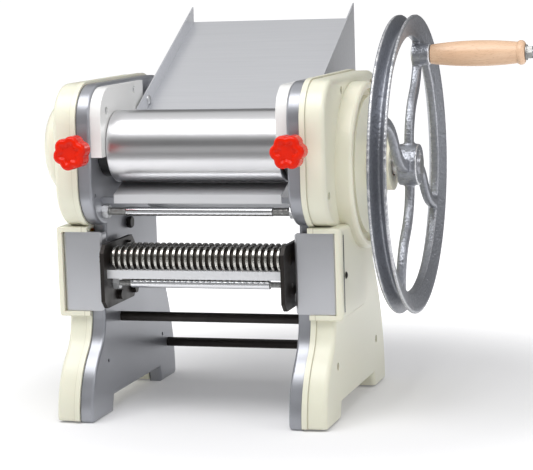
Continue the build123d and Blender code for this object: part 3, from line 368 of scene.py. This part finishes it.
def set_on_points(tree, given, shape):
    """Last steps of a tree: the shape on every point, turned as the point says, as one finished mesh."""
    aim = step(tree, "GeometryNodeInputNamedAttribute", {"Name": "aim"}, data_type="FLOAT_VECTOR")
    spin = step(tree, "FunctionNodeEulerToRotation", {0: aim})
    placed = step(
        tree, "GeometryNodeInstanceOnPoints",
        {"Points": given["Geometry"], "Instance": shape, "Rotation": spin},
    )
    whole = step(tree, "GeometryNodeRealizeInstances", {0: placed})
    coated = step(tree, "GeometryNodeSetMaterial", {"Geometry": whole, "Material": given["Finish"]})
    tree.links.new(coated, tree.nodes.new("NodeGroupOutput").inputs[0])


def grow(tree, name, places, aims, finish, sharp, sizes):
    """Plain mesh of a tree's shapes at the given places, smooth up to the sharp angle."""
    spots = bpy.data.meshes.new(name)
    spots.from_pydata(places, [], [])
    aim = spots.attributes.new("aim", "FLOAT_VECTOR", "POINT")
    for spot, angles in zip(aim.data, aims):
        spot.vector = angles
    host = put(name + ".points", spots)
    grower = host.modifiers.new("shapes", "NODES")
    grower.node_group = tree
    for socket in tree.interface.items_tree:
        if socket.in_out == "INPUT" and socket.name != "Geometry":
            grower[socket.identifier] = finish if socket.name == "Finish" else sizes[socket.name]
    grown = host.evaluated_get(bpy.context.evaluated_depsgraph_get())
    mesh = bpy.data.meshes.new_from_object(grown)
    bpy.data.objects.remove(host)
    mesh.shade_smooth()
    mesh.set_sharp_from_angle(angle=sharp)
    return put(name, mesh)


def stand_for(piece, name):
    """A piece takes the place of one part, on that part's body."""
    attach(piece, nodes[name]["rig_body"])
    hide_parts(name)


nut_tree, nut = new_tree("hex_nuts", "Corner Radius", "Length", "Crown Radius")
nut_block = step(
    nut_tree, "GeometryNodeMeshCylinder",
    {"Vertices": 6, "Radius": nut["Corner Radius"], "Depth": nut["Length"]},
)
nut_crown = step(
    nut_tree, "GeometryNodeMeshUVSphere", {"Segments": 36, "Rings": 24, "Radius": nut["Crown Radius"]},
)
nut_form = nut_tree.nodes.new("GeometryNodeMeshBoolean")
nut_form.operation = "INTERSECT"
nut_form.solver = "EXACT"
nut_tree.links.new(nut_block, nut_form.inputs["Mesh 2"])
nut_tree.links.new(nut_crown, nut_form.inputs["Mesh 2"])
nut_along = step(
    nut_tree, "GeometryNodeTransform",
    {"Geometry": nut_form.outputs[0], "Rotation": (pi / 2, 0, pi / 2)},
)
set_on_points(nut_tree, nut, nut_along)


def hex_nuts(name, finish):
    """Chamfered hexagons in place of a part's plain ones."""
    boxes = solids(name)
    size = boxes[0][1] - boxes[0][0]
    flat, length = size.z / 2, size.x
    crown = ((nut_chamfer * flat) ** 2 + (length / 2) ** 2) ** 0.5
    middles = [(low + high) / 2 for low, high in boxes]
    sizes = {"Corner Radius": size.y / 2, "Length": length, "Crown Radius": crown}
    unturned = [(0, 0, 0)] * len(middles)
    piece = grow(nut_tree, name + ".chamfered", middles, unturned, finish, nut_sharp, sizes)
    stand_for(piece, name)


thread_tree, thread = new_tree(
    "threaded_ends", "Root Radius", "Crest Radius", "Thread Length", "Core Length", "Pitch", "Ridge",
)
core = step(
    thread_tree, "GeometryNodeMeshCylinder",
    {"Vertices": 32, "Radius": thread["Root Radius"], "Depth": thread["Core Length"]},
)
core_half = step(thread_tree, "ShaderNodeMath", {0: thread["Core Length"], 1: 0.5}, operation="MULTIPLY")
core_lift = step(thread_tree, "ShaderNodeCombineXYZ", {"Z": core_half})
core_up = step(thread_tree, "GeometryNodeTransform", {"Geometry": core, "Translation": core_lift})
turns = step(
    thread_tree, "ShaderNodeMath", {0: thread["Thread Length"], 1: thread["Pitch"]}, operation="DIVIDE",
)
helix = step(
    thread_tree, "GeometryNodeCurveSpiral",
    {"Resolution": 24, "Rotations": turns, "Start Radius": thread["Crest Radius"],
     "End Radius": thread["Crest Radius"], "Height": thread["Thread Length"]},
)
ridge_profile = step(
    thread_tree, "GeometryNodeCurvePrimitiveCircle", {"Resolution": 4, "Radius": thread["Ridge"]},
)
flank = step(
    thread_tree, "GeometryNodeCurveToMesh",
    {"Curve": helix, "Profile Curve": ridge_profile, "Fill Caps": True},
)
thread_join = thread_tree.nodes.new("GeometryNodeJoinGeometry")
thread_tree.links.new(core_up, thread_join.inputs[0])
thread_tree.links.new(flank, thread_join.inputs[0])
thread_along = step(
    thread_tree, "GeometryNodeTransform",
    {"Geometry": thread_join.outputs[0], "Rotation": (0, pi / 2, 0)},
)
set_on_points(thread_tree, thread, thread_along)


def threaded_rod(name, sleeve, pitch, finish):
    """Rod whose ends are threaded as far as its sleeve lets them show."""
    low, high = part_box(name)
    sleeve_low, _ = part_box(sleeve)
    radius = (high[2] - low[2]) / 2
    y, z = (low[1] + high[1]) / 2, (low[2] + high[2]) / 2
    ridge = ridge_share * pitch
    sizes = {
        "Root Radius": radius - ridge, "Crest Radius": radius - ridge,
        "Thread Length": sleeve_low[0] - low[0] - ridge, "Core Length": (high[0] - low[0]) / 2,
        "Pitch": pitch, "Ridge": ridge,
    }
    ends = [(low[0], y, z), (high[0], y, z)]
    inward = [(0, 0, 0), (0, 0, pi)]
    piece = grow(thread_tree, name + ".threaded", ends, inward, finish, thread_sharp, sizes)
    stand_for(piece, name)


bright_plate = mottled(
    "bright_plate", (0.86, 0.87, 0.89), (0.76, 0.77, 0.79), grain=60, roughness=(0.09, 0.16),
    bump=(300, 0.05, 0.02), Metallic=1.0,
)
black_plate = mottled(
    "black_plate", (0.030, 0.025, 0.022), (0.012, 0.010, 0.009), grain=55, roughness=(0.30, 0.46),
    bump=(350, 0.22, 0.08), Metallic=0.3, Specular_IOR_Level=0.35,
)
zinc = mottled(
    "zinc", (0.72, 0.73, 0.74), (0.56, 0.57, 0.58), grain=160, roughness=(0.32, 0.44),
    bump=(2200, 0.06, 0.02), Metallic=0.9,
)
dull_zinc = mottled(
    "dull_zinc", (0.50, 0.50, 0.49), (0.36, 0.36, 0.35), grain=160, roughness=(0.40, 0.55),
    bump=(500, 0.12, 0.03), Metallic=0.9,
)
threaded_rod("front_tie_rod", "front_tie_sleeve", front_rod_pitch, dull_zinc)
dress(bright_plate, "front_tie_sleeve")
dress(black_plate, "lower_tie_bar", "rear_tie_bars")
hex_nuts("tie_bar_nuts", zinc)
left_inner_x, right_inner_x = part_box("left_side_frame")[1][0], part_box("right_side_frame")[0][0]
bolt_middles_x = (left_inner_x + bolt_head / 2, right_inner_x - bolt_head / 2)
frame_bolts = grow(
    nut_tree, "frame_bolts", [(x, bolt_y, bolt_z) for x in bolt_middles_x], [(bolt_turn, 0, 0)] * 2,
    black_plate, nut_sharp,
    {"Corner Radius": bolt_corner, "Length": bolt_head, "Crown Radius": bolt_crown},
)
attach(frame_bolts, "root")

# Bearings: sliding steel blocks in the frames' windows, bronze bushes pressed into them,
# and black rubber seals that keep flour out of the roller ends.
oiled_steel = mottled(
    "oiled_steel", (0.36, 0.35, 0.33), (0.22, 0.21, 0.20), grain=70, roughness=(0.30, 0.44),
    bump=(400, 0.2, 0.04), Metallic=1.0,
)
bronze = mottled(
    "bronze", (0.56, 0.36, 0.17), (0.42, 0.26, 0.12), grain=120, roughness=(0.30, 0.45),
    bump=(500, 0.2, 0.03), Metallic=1.0,
)
black_rubber = mottled(
    "black_rubber", (0.013, 0.013, 0.014), (0.007, 0.007, 0.008), grain=40, roughness=(0.28, 0.40),
    bump=(900, 0.10, 0.03),
)
dress(oiled_steel, "bearing_blocks")
dress(bronze, "front_roller_bushes", "rear_roller_bushes")
dress(black_rubber, "front_roller_seals", "rear_roller_seals")

# Sheeting rollers: ground steel, hard-chromed and polished round their girth, with journals of the same
# piece that turn in the bearing bushes.
polished_chrome = mottled(
    "polished_chrome", (0.80, 0.80, 0.81), (0.74, 0.74, 0.76), grain=40, roughness=(0.28, 0.30),
    bump=(2600, 0.02, 0.004), stretch=(1, 0.12, 0.12), Metallic=1.0,
)
dress(polished_chrome, "front_roller", "rear_roller")

# Hopper cheeks: off-white moulded blocks that close the space beside the rollers.
# Their edges are well rounded, and each is held to its frame by two sunk, slotted screws.
cheek_round = 1.6 * mm
flat_limit, round_limit, crease_limit = radians(0.5), radians(40), radians(50)
screw_head, cheek_screw_shank = 2.6 * mm, 2.0 * mm
screw_sharp, screw_turn = radians(35), 2.4
slot_length_share, slot_depth_share, slot_width_share = 2.4, 0.9, 0.16


def softened(name, suffix, width, finish):
    """Copy of a part with its sharp outer edges rounded, standing in its place."""
    mesh = nodes[name].data.copy()
    if "custom_normal" in mesh.attributes:
        mesh.attributes.remove(mesh.attributes["custom_normal"])
    form = welded(mesh)
    bmesh.ops.dissolve_limit(form, angle_limit=flat_limit, verts=form.verts, edges=form.edges)
    outer_edges = [
        edge for edge in form.edges
        if edge.is_manifold and edge.is_convex and edge.calc_face_angle() > round_limit
    ]
    bmesh.ops.bevel(
        form, geom=outer_edges, offset=width, offset_type="OFFSET", segments=3, profile=0.5,
        affect="EDGES", clamp_overlap=True,
    )
    form.to_mesh(mesh)
    form.free()
    mesh.shade_smooth()
    mesh.set_sharp_from_angle(angle=crease_limit)
    mesh.materials.clear()
    mesh.materials.append(finish)
    piece = put(name + suffix, mesh)
    piece.modifiers.new("flat_faces", "WEIGHTED_NORMAL").keep_sharp = True
    stand_for(piece, name)
    return piece


white_plastic = mottled(
    "white_plastic", (0.77, 0.77, 0.757), (0.72, 0.72, 0.705), grain=7, roughness=(0.28, 0.36),
    bump=(2200, 0.04, 0.01), Coat_Weight=0.25, Coat_Roughness=0.15,
)
softened("left_cheek", ".moulding", cheek_round, white_plastic)
softened("right_cheek", ".moulding", cheek_round, white_plastic)

screw_tree, screw = new_tree(
    "slotted_screws", "Head Radius", "Head Height", "Length", "Shank Radius", "Slot Width",
)
dome_scale = step(
    screw_tree, "ShaderNodeCombineXYZ",
    {"X": screw["Head Radius"], "Y": screw["Head Radius"], "Z": screw["Head Height"]},
)
dome = step(screw_tree, "GeometryNodeMeshUVSphere", {"Segments": 32, "Rings": 16, "Radius": 1.0})
dome_sized = step(screw_tree, "GeometryNodeTransform", {"Geometry": dome, "Scale": dome_scale})
slot_long = step(
    screw_tree, "ShaderNodeMath", {0: screw["Head Radius"], 1: slot_length_share}, operation="MULTIPLY",
)
slot_deep = step(
    screw_tree, "ShaderNodeMath", {0: screw["Head Height"], 1: slot_depth_share}, operation="MULTIPLY",
)
slot_size = step(
    screw_tree, "ShaderNodeCombineXYZ", {"X": slot_long, "Y": screw["Slot Width"], "Z": slot_deep},
)
slot_bar = step(screw_tree, "GeometryNodeMeshCube", {"Size": slot_size})
slot_lift = step(screw_tree, "ShaderNodeCombineXYZ", {"Z": screw["Head Height"]})
slot_up = step(screw_tree, "GeometryNodeTransform", {"Geometry": slot_bar, "Translation": slot_lift})
head = step(
    screw_tree, "GeometryNodeMeshBoolean", {"Mesh 1": dome_sized, "Mesh 2": slot_up},
    operation="DIFFERENCE", solver="EXACT",
)
shank = step(
    screw_tree, "GeometryNodeMeshCylinder",
    {"Vertices": 20, "Radius": screw["Shank Radius"], "Depth": screw["Length"]},
)
shank_drop = step(screw_tree, "ShaderNodeMath", {0: screw["Length"], 1: -0.5}, operation="MULTIPLY")
shank_move = step(screw_tree, "ShaderNodeCombineXYZ", {"Z": shank_drop})
shank_down = step(screw_tree, "GeometryNodeTransform", {"Geometry": shank, "Translation": shank_move})
screw_join = screw_tree.nodes.new("GeometryNodeJoinGeometry")
screw_tree.links.new(head, screw_join.inputs[0])
screw_tree.links.new(shank_down, screw_join.inputs[0])
screw_along = step(
    screw_tree, "GeometryNodeTransform",
    {"Geometry": screw_join.outputs[0], "Rotation": (0, pi / 2, 0)},
)
set_on_points(screw_tree, screw, screw_along)


def slotted_screws(name, shank_radius, heads_out, finish):
    """Domed slotted screws in place of a part's plain ones, heads away from or towards the middle."""
    middle_x = (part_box("left_side_frame")[0][0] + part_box("right_side_frame")[1][0]) / 2
    places, aims = [], []
    boxes = solids(name)
    for number, (low, high) in enumerate(boxes):
        on_left = low.x < middle_x
        faces_right = on_left != heads_out
        seat_x = high.x - screw_head if faces_right else low.x + screw_head
        places.append((seat_x, (low.y + high.y) / 2, (low.z + high.z) / 2))
        aims.append((screw_turn * number, 0, 0 if faces_right else pi))
    size = boxes[0][1] - boxes[0][0]
    sizes = {
        "Head Radius": size.z / 2, "Head Height": screw_head, "Length": size.x - screw_head,
        "Shank Radius": shank_radius, "Slot Width": slot_width_share * size.z,
    }
    piece = grow(screw_tree, name + ".slotted", places, aims, finish, screw_sharp, sizes)
    stand_for(piece, name)


slotted_screws("cheek_screws", cheek_screw_shank, False, zinc)

# Scrapers: bent stainless strips under the rollers, brushed along their length, with painted shade for
# the roller's shadow along the edge that wipes the front roller. Enamelled brackets carry them at their
# ends.
roller_shadow_paint, roller_shadow_reach = (0.06, 0.06, 0.063), 9 * mm


def satin_steel(name):
    """Stainless strip with a satin brushed along X."""
    return mottled(
        name, (0.86, 0.87, 0.89), (0.78, 0.79, 0.81), grain=220, roughness=(0.28, 0.38),
        bump=(1500, 0.04, 0.02), stretch=(0.04, 1, 1), Metallic=0.55,
    )


satin_strip = satin_steel("satin_strip")
scraper_steel = satin_steel("scraper_steel")
# Painted shade: the front scraper darkens towards its top edge, for the front roller's shadow on it.
painted_shade_band(scraper_steel, "Z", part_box("front_scraper")[1][2], roller_shadow_reach, roller_shadow_paint)
dress(scraper_steel, "front_scraper")
dress(satin_strip, "rear_scraper")
dress(grey_enamel, "scraper_brackets")

# Roller gears: a like pair cut from steel bar and left oiled, out of sight under the left cover.
# They couple the two rollers, and spring clips keep them on their shafts.
dress(oiled_steel, "front_roller_gear", "rear_roller_gear")
dress(zinc, "front_roller_clip", "rear_roller_clip")

# Gap knobs: red lobed mouldings pressed on threaded studs that slide the front roller's bearings.
# The plastic is glossy, with faint flow marks, and the face is dished inside its lobed rim.
knob_voxel, knob_smoothing, knob_lobes = 0.6 * mm, 4, 6
dish_radius, dish_scallop, dish_depth, dish_slope = 11.0 * mm, 1.8 * mm, 2.4 * mm, 2.6
face_tilt = -0.5


def recast(name, voxel, smoothing):
    """Mesh of a part with every edge rounded off, as a mould or sand leaves it."""
    mesh = nodes[name].data.copy()
    form = welded(mesh)
    form.to_mesh(mesh)
    form.free()
    rough = put(name + ".rough", mesh)
    skin = rough.modifiers.new("skin", "REMESH")
    skin.mode = "VOXEL"
    skin.voxel_size = voxel
    fettle = rough.modifiers.new("fettle", "SMOOTH")
    fettle.factor = 0.5
    fettle.iterations = smoothing
    cast = bpy.data.meshes.new_from_object(rough.evaluated_get(bpy.context.evaluated_depsgraph_get()))
    bpy.data.objects.remove(rough)
    cast.shade_smooth()
    cast.materials.clear()
    return cast


red_plastic = mottled(
    "red_plastic", (0.74, 0.016, 0.0004), (0.58, 0.009, 0.0003), grain=90, roughness=(0.17, 0.25),
    bump=(420, 0.20, 0.25), Specular_IOR_Level=0.22,
)
for knob_name in ("left_gap_knob", "right_gap_knob"):
    knob_mesh = recast(knob_name, knob_voxel, knob_smoothing)
    knob_low, knob_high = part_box(knob_name)
    knob_axis = Vector(((knob_low[0] + knob_high[0]) / 2, (knob_low[2] + knob_high[2]) / 2))
    reaches = [Vector((vert.co.x, vert.co.z)) - knob_axis for vert in knob_mesh.vertices]
    outermost = max(reaches, key=lambda reach: reach.length)
    lobe_angle = atan2(outermost.y, outermost.x)
    for vert in knob_mesh.vertices:
        if vert.normal.y > face_tilt or vert.co.y > knob_low[1] + dish_depth:
            continue
        out = Vector((vert.co.x, vert.co.z)) - knob_axis
        rim = dish_radius + dish_scallop * cos(knob_lobes * (atan2(out.y, out.x) - lobe_angle))
        sunk = min(1.0, max(0.0, dish_slope * (1 - out.length / rim)))
        vert.co.y += dish_depth * sunk * sunk * (3 - 2 * sunk)
    knob_mesh.materials.append(red_plastic)
    knob = put(knob_name + ".moulding", knob_mesh)
    stand_for(knob, knob_name)
dress(zinc, "left_gap_stud", "right_gap_stud")

# Cutting cassette: two black pressed plates that hold a pair of grooved rolls and their combs,
# with a tie rod in a bright sleeve below, bolted to the frames through spacers.
plate_round, ring_round, ring_rim = 0.9 * mm, 0.6 * mm, 0.9 * mm
cassette_rod_pitch = 1.0 * mm

softened("left_cassette_plate", ".pressed", plate_round, black_plate)
softened("right_cassette_plate", ".pressed", plate_round, black_plate)
turned_steel = mottled(
    "turned_steel", (0.66, 0.65, 0.61), (0.46, 0.45, 0.42), grain=90, roughness=(0.19, 0.26),
    bump=(1500, 0.06, 0.01), Metallic=1.0,
)
# Painted shade: the faces down between the cutting rings get a near-black steel, for the shade in the
# grooves.
groove_shade_steel = mottled(
    "groove_shade_steel", (0.060, 0.050, 0.040), (0.030, 0.025, 0.020), grain=90, roughness=(0.40, 0.55),
    bump=(400, 0.10, 0.02), Metallic=0.5,
)
for roll_name in ("front_cutting_roll", "rear_cutting_roll"):
    roll = softened(roll_name, ".turned", ring_round, turned_steel)
    roll.data.materials.append(groove_shade_steel)
    roll_low, roll_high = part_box(roll_name)
    roll_y, roll_z = (roll_low[1] + roll_high[1]) / 2, (roll_low[2] + roll_high[2]) / 2
    groove_shade_radius = (roll_high[2] - roll_low[2]) / 2 - ring_rim
    for face in roll.data.polygons:
        off_axis = Vector((face.center.y - roll_y, face.center.z - roll_z)).length
        face.material_index = 1 if off_axis < groove_shade_radius else 0
dress(satin_strip, "front_comb", "rear_comb")
threaded_rod("cassette_tie_rod", "cassette_tie_sleeve", cassette_rod_pitch, dull_zinc)
dress(bright_plate, "cassette_tie_sleeve")
hex_nuts("cassette_tie_nuts", zinc)
dress(black_plate, "cassette_bolts")
dress(zinc, "cassette_spacers")

# Gear train on the right: drive gear, idler on its pin, cutter gear and the pair that couples the rolls.
# Cut from bar and left oiled, behind the drum of the cover.
dress(oiled_steel, "drive_gear", "idler_gear", "cutter_gear")
dress(oiled_steel, "front_cutter_pair_gear", "rear_cutter_pair_gear")
dress(zinc, "idler_pin", "idler_clip")

# Side covers: glossy cream shells moulded in one piece each, with a drum for the gears on the right,
# screwed to the frames through sunk holes. At the waist a black strip fills the slit in each side as
# painted shade, with a small black screw behind it.
lip_width, lip_crease_shade, lip_reach = 5.9 * mm, (0.50, 0.47, 0.36), 0.7 * mm
left_waist_x, right_waist_x = -230.05 * mm, 69.15 * mm
slit_shade_y, slit_shade_width, slit_shade_deep, slit_shade_proud = -116.2 * mm, 3.2 * mm, 1.6 * mm, 0.2 * mm
slit_shade_trim, slit_shade_round = 2 * mm, 0.15 * mm
cover_screw_shank = 2.0 * mm
box_screw_y, box_screw_z, box_screw_turn = -108.7 * mm, 146 * mm, 0.5
box_screw_sizes = {
    "Head Radius": 3.6 * mm, "Head Height": 1.8 * mm, "Length": 3 * mm, "Shank Radius": 1.5 * mm,
    "Slot Width": 1.0 * mm,
}

cream_plastic = mottled(
    "cream_plastic", (0.77, 0.748, 0.615), (0.735, 0.713, 0.575), grain=5, roughness=(0.28, 0.36),
    bump=(2200, 0.04, 0.01), Coat_Weight=0.15, Coat_Roughness=0.3, Subsurface_Weight=0.04,
)
# Painted shade: a thin darker line on each cover where its raised lip meets the wall, for the shade in
# that step.
painted_shade_band(cream_plastic, "X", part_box("left_cover")[1][0] - lip_width, lip_reach, lip_crease_shade)
painted_shade_band(cream_plastic, "X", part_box("right_cover")[0][0] + lip_width, lip_reach, lip_crease_shade)
dress(cream_plastic, "left_cover", "right_cover")

fascia_low, fascia_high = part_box("right_fascia")
slit_shade_low_z, slit_shade_high_z = fascia_low[2] + slit_shade_trim, fascia_high[2] - slit_shade_trim
# Painted shade: a black strip fills each slit beside the box, standing for the shadow inside the slit.
for slit_shade_name, waist_x, outward in (("left_slit_shade", left_waist_x, -1), ("right_slit_shade", right_waist_x, 1)):
    slit_shade_mesh = bpy.data.meshes.new(slit_shade_name)
    slit_shade_form = bmesh.new()
    slit_shade_box = Matrix.Translation((
        waist_x + outward * (slit_shade_proud - slit_shade_deep) / 2, slit_shade_y, (slit_shade_low_z + slit_shade_high_z) / 2,
    )) @ Matrix.Diagonal((slit_shade_proud + slit_shade_deep, slit_shade_width, slit_shade_high_z - slit_shade_low_z, 1))
    bmesh.ops.create_cube(slit_shade_form, size=1, matrix=slit_shade_box)
    bmesh.ops.bevel(
        slit_shade_form, geom=slit_shade_form.edges[:], offset=slit_shade_round, segments=2, profile=0.5, affect="EDGES",
    )
    slit_shade_form.to_mesh(slit_shade_mesh)
    slit_shade_form.free()
    slit_shade_mesh.materials.append(black_rubber)
    slit_shade = put(slit_shade_name, slit_shade_mesh)
    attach(slit_shade, "root")

slotted_screws("cover_screws", cover_screw_shank, True, zinc)
box_screws = grow(
    screw_tree, "box_screws", [(x, box_screw_y, box_screw_z) for x in (left_waist_x, right_waist_x)],
    [(box_screw_turn, 0, pi), (box_screw_turn, 0, 0)], black_plate, screw_sharp, box_screw_sizes,
)
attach(box_screws, "root")

# Fascia plates: flat aluminium plates with rounded edges, anodised a plain grey.
# Each is set in the box that its side cover forms in front of the waist.
grey_anodised = mottled(
    "grey_anodised", (0.66, 0.67, 0.70), (0.63, 0.64, 0.67), grain=30, roughness=(0.28, 0.32),
    bump=(2600, 0.03, 0.006), Metallic=0.85,
)
dress(grey_anodised, "left_fascia", "right_fascia")

# Feed tray: folded stainless sheet with upright side walls, brushed across its width.
# It is screwed to the frames through its walls, with spacers between.
tray_screw_shank = 2.5 * mm

brushed_sheet = mottled(
    "brushed_sheet", (0.78, 0.79, 0.82), (0.71, 0.72, 0.75), grain=260, roughness=(0.28, 0.36),
    bump=(1500, 0.04, 0.02), stretch=(0.04, 1, 1), Metallic=0.85,
)
dress(brushed_sheet, "feed_tray")
slotted_screws("tray_screws", tray_screw_shank, False, zinc)
dress(zinc, "tray_spacers")

# Handwheel: one iron casting with a V-grooved rim and four curved spokes, keyed to its shaft.
# It is finished in grey hammer paint, with bright speckles painted along the edges as highlight.
casting_voxel, casting_smoothing, edge_share = 1.25 * mm, 5, 0.16
edge_full = edge_share * casting_voxel
dimple_depth = 0.9 * mm
glint_start, glint_full = 0.24, 0.42


def hammered(name, light, dark, glint, cell):
    """Hammer paint: dimpled all over, with painted highlight speckles where the piece's edge value is
    high.
    """
    finish, tree, place = new_finish(name)
    warp = step(tree, "ShaderNodeTexNoise", {"Vector": place, "Scale": 0.7 * cell, "Detail": 2.0})
    cells = step(tree, "ShaderNodeTexVoronoi", {"Vector": place, "Scale": cell}, feature="SMOOTH_F1")
    mixed = step(tree, "ShaderNodeMath", {0: cells, 1: warp}, operation="MULTIPLY")
    dimple = step(tree, "ShaderNodeBump", {"Height": mixed, "Strength": 1.0, "Distance": dimple_depth})
    # Painted highlight: near-white speckles on the proud edges stand for glints on the hammer paint.
    edge = step(tree, "ShaderNodeAttribute", {}, attribute_name="edge").node.outputs["Fac"]
    fleck = step(tree, "ShaderNodeTexNoise", {"Vector": place, "Scale": 6 * cell, "Detail": 2.0})
    edge_glint = step(tree, "ShaderNodeMath", {0: edge, 1: fleck}, operation="MULTIPLY")
    glint_amount = step(
        tree, "ShaderNodeMapRange", {"Value": edge_glint, "From Min": glint_start, "From Max": glint_full},
    )
    gloss = step(
        tree, "ShaderNodeMapRange",
        {"Value": warp, "From Min": 0.3, "From Max": 0.7, "To Min": 0.28, "To Max": 0.42},
    )
    paint = blend(tree, warp, (*light, 1), (*dark, 1))
    coat(finish, blend(tree, glint_amount, paint, (*glint, 1)), gloss, dimple, Metallic=0.75)
    return finish


hammer_paint = hammered(
    "hammer_paint", light=(0.405, 0.42, 0.458), dark=(0.24, 0.25, 0.28), glint=(0.90, 0.90, 0.90),
    cell=460,
)
cast_mesh = recast("handwheel", casting_voxel, casting_smoothing)
cast_form = bmesh.new()
cast_form.from_mesh(cast_mesh)
cast_form.normal_update()
edge_layer = cast_form.verts.layers.float.new("edge")
for vert in cast_form.verts:
    around = [edge.other_vert(vert).co for edge in vert.link_edges]
    proud = vert.co - sum(around, Vector()) / len(around)
    vert[edge_layer] = min(1.0, max(0.0, proud.dot(vert.normal) / edge_full))
cast_form.to_mesh(cast_mesh)
cast_form.free()
cast_mesh.materials.append(hammer_paint)
casting = put("handwheel.casting", cast_mesh)
stand_for(casting, "handwheel")
dress(zinc, "wheel_key")

# Crank handle: a turned beech grip that spins on a bolt, with a washer and a dull nut at its end.
# The grain runs along the grip, with the short dark flecks of beech.
grain_stretch, fleck_stretch = (0.06, 1, 1), (0.16, 1, 1)
pore_depth = 0.15 * mm


def turned_wood(name, light, dark, fleck_colour):
    """Oiled wood with its grain along X."""
    finish, tree, place = new_finish(name)
    along = step(tree, "ShaderNodeMapping", {"Vector": place, "Scale": grain_stretch})
    grain = step(
        tree, "ShaderNodeTexNoise", {"Vector": along, "Scale": 260.0, "Detail": 8.0, "Roughness": 0.65},
    )
    short = step(tree, "ShaderNodeMapping", {"Vector": place, "Scale": fleck_stretch})
    fleck = step(tree, "ShaderNodeTexNoise", {"Vector": short, "Scale": 1500.0, "Detail": 1.0})
    spread = step(tree, "ShaderNodeMapRange", {"Value": grain, "From Min": 0.32, "From Max": 0.68})
    marks = step(
        tree, "ShaderNodeMapRange", {"Value": fleck, "From Min": 0.60, "From Max": 0.72, "To Max": 0.6},
    )
    gloss = step(tree, "ShaderNodeMapRange", {"Value": grain, "To Min": 0.30, "To Max": 0.48})
    pores = step(tree, "ShaderNodeBump", {"Height": grain, "Strength": 0.12, "Distance": pore_depth})
    plain = blend(tree, spread, (*light, 1), (*dark, 1))
    wood = blend(tree, marks, plain, (*fleck_colour, 1))
    coat(finish, wood, gloss, pores, Coat_Weight=0.2, Coat_Roughness=0.25)
    return finish


beech = turned_wood(
    "beech", light=(0.76, 0.53, 0.36), dark=(0.66, 0.42, 0.265), fleck_colour=(0.46, 0.26, 0.15),
)
dress(beech, "handle_grip")
dress(zinc, "handle_bolt")
dress(dull_zinc, "handle_nut")
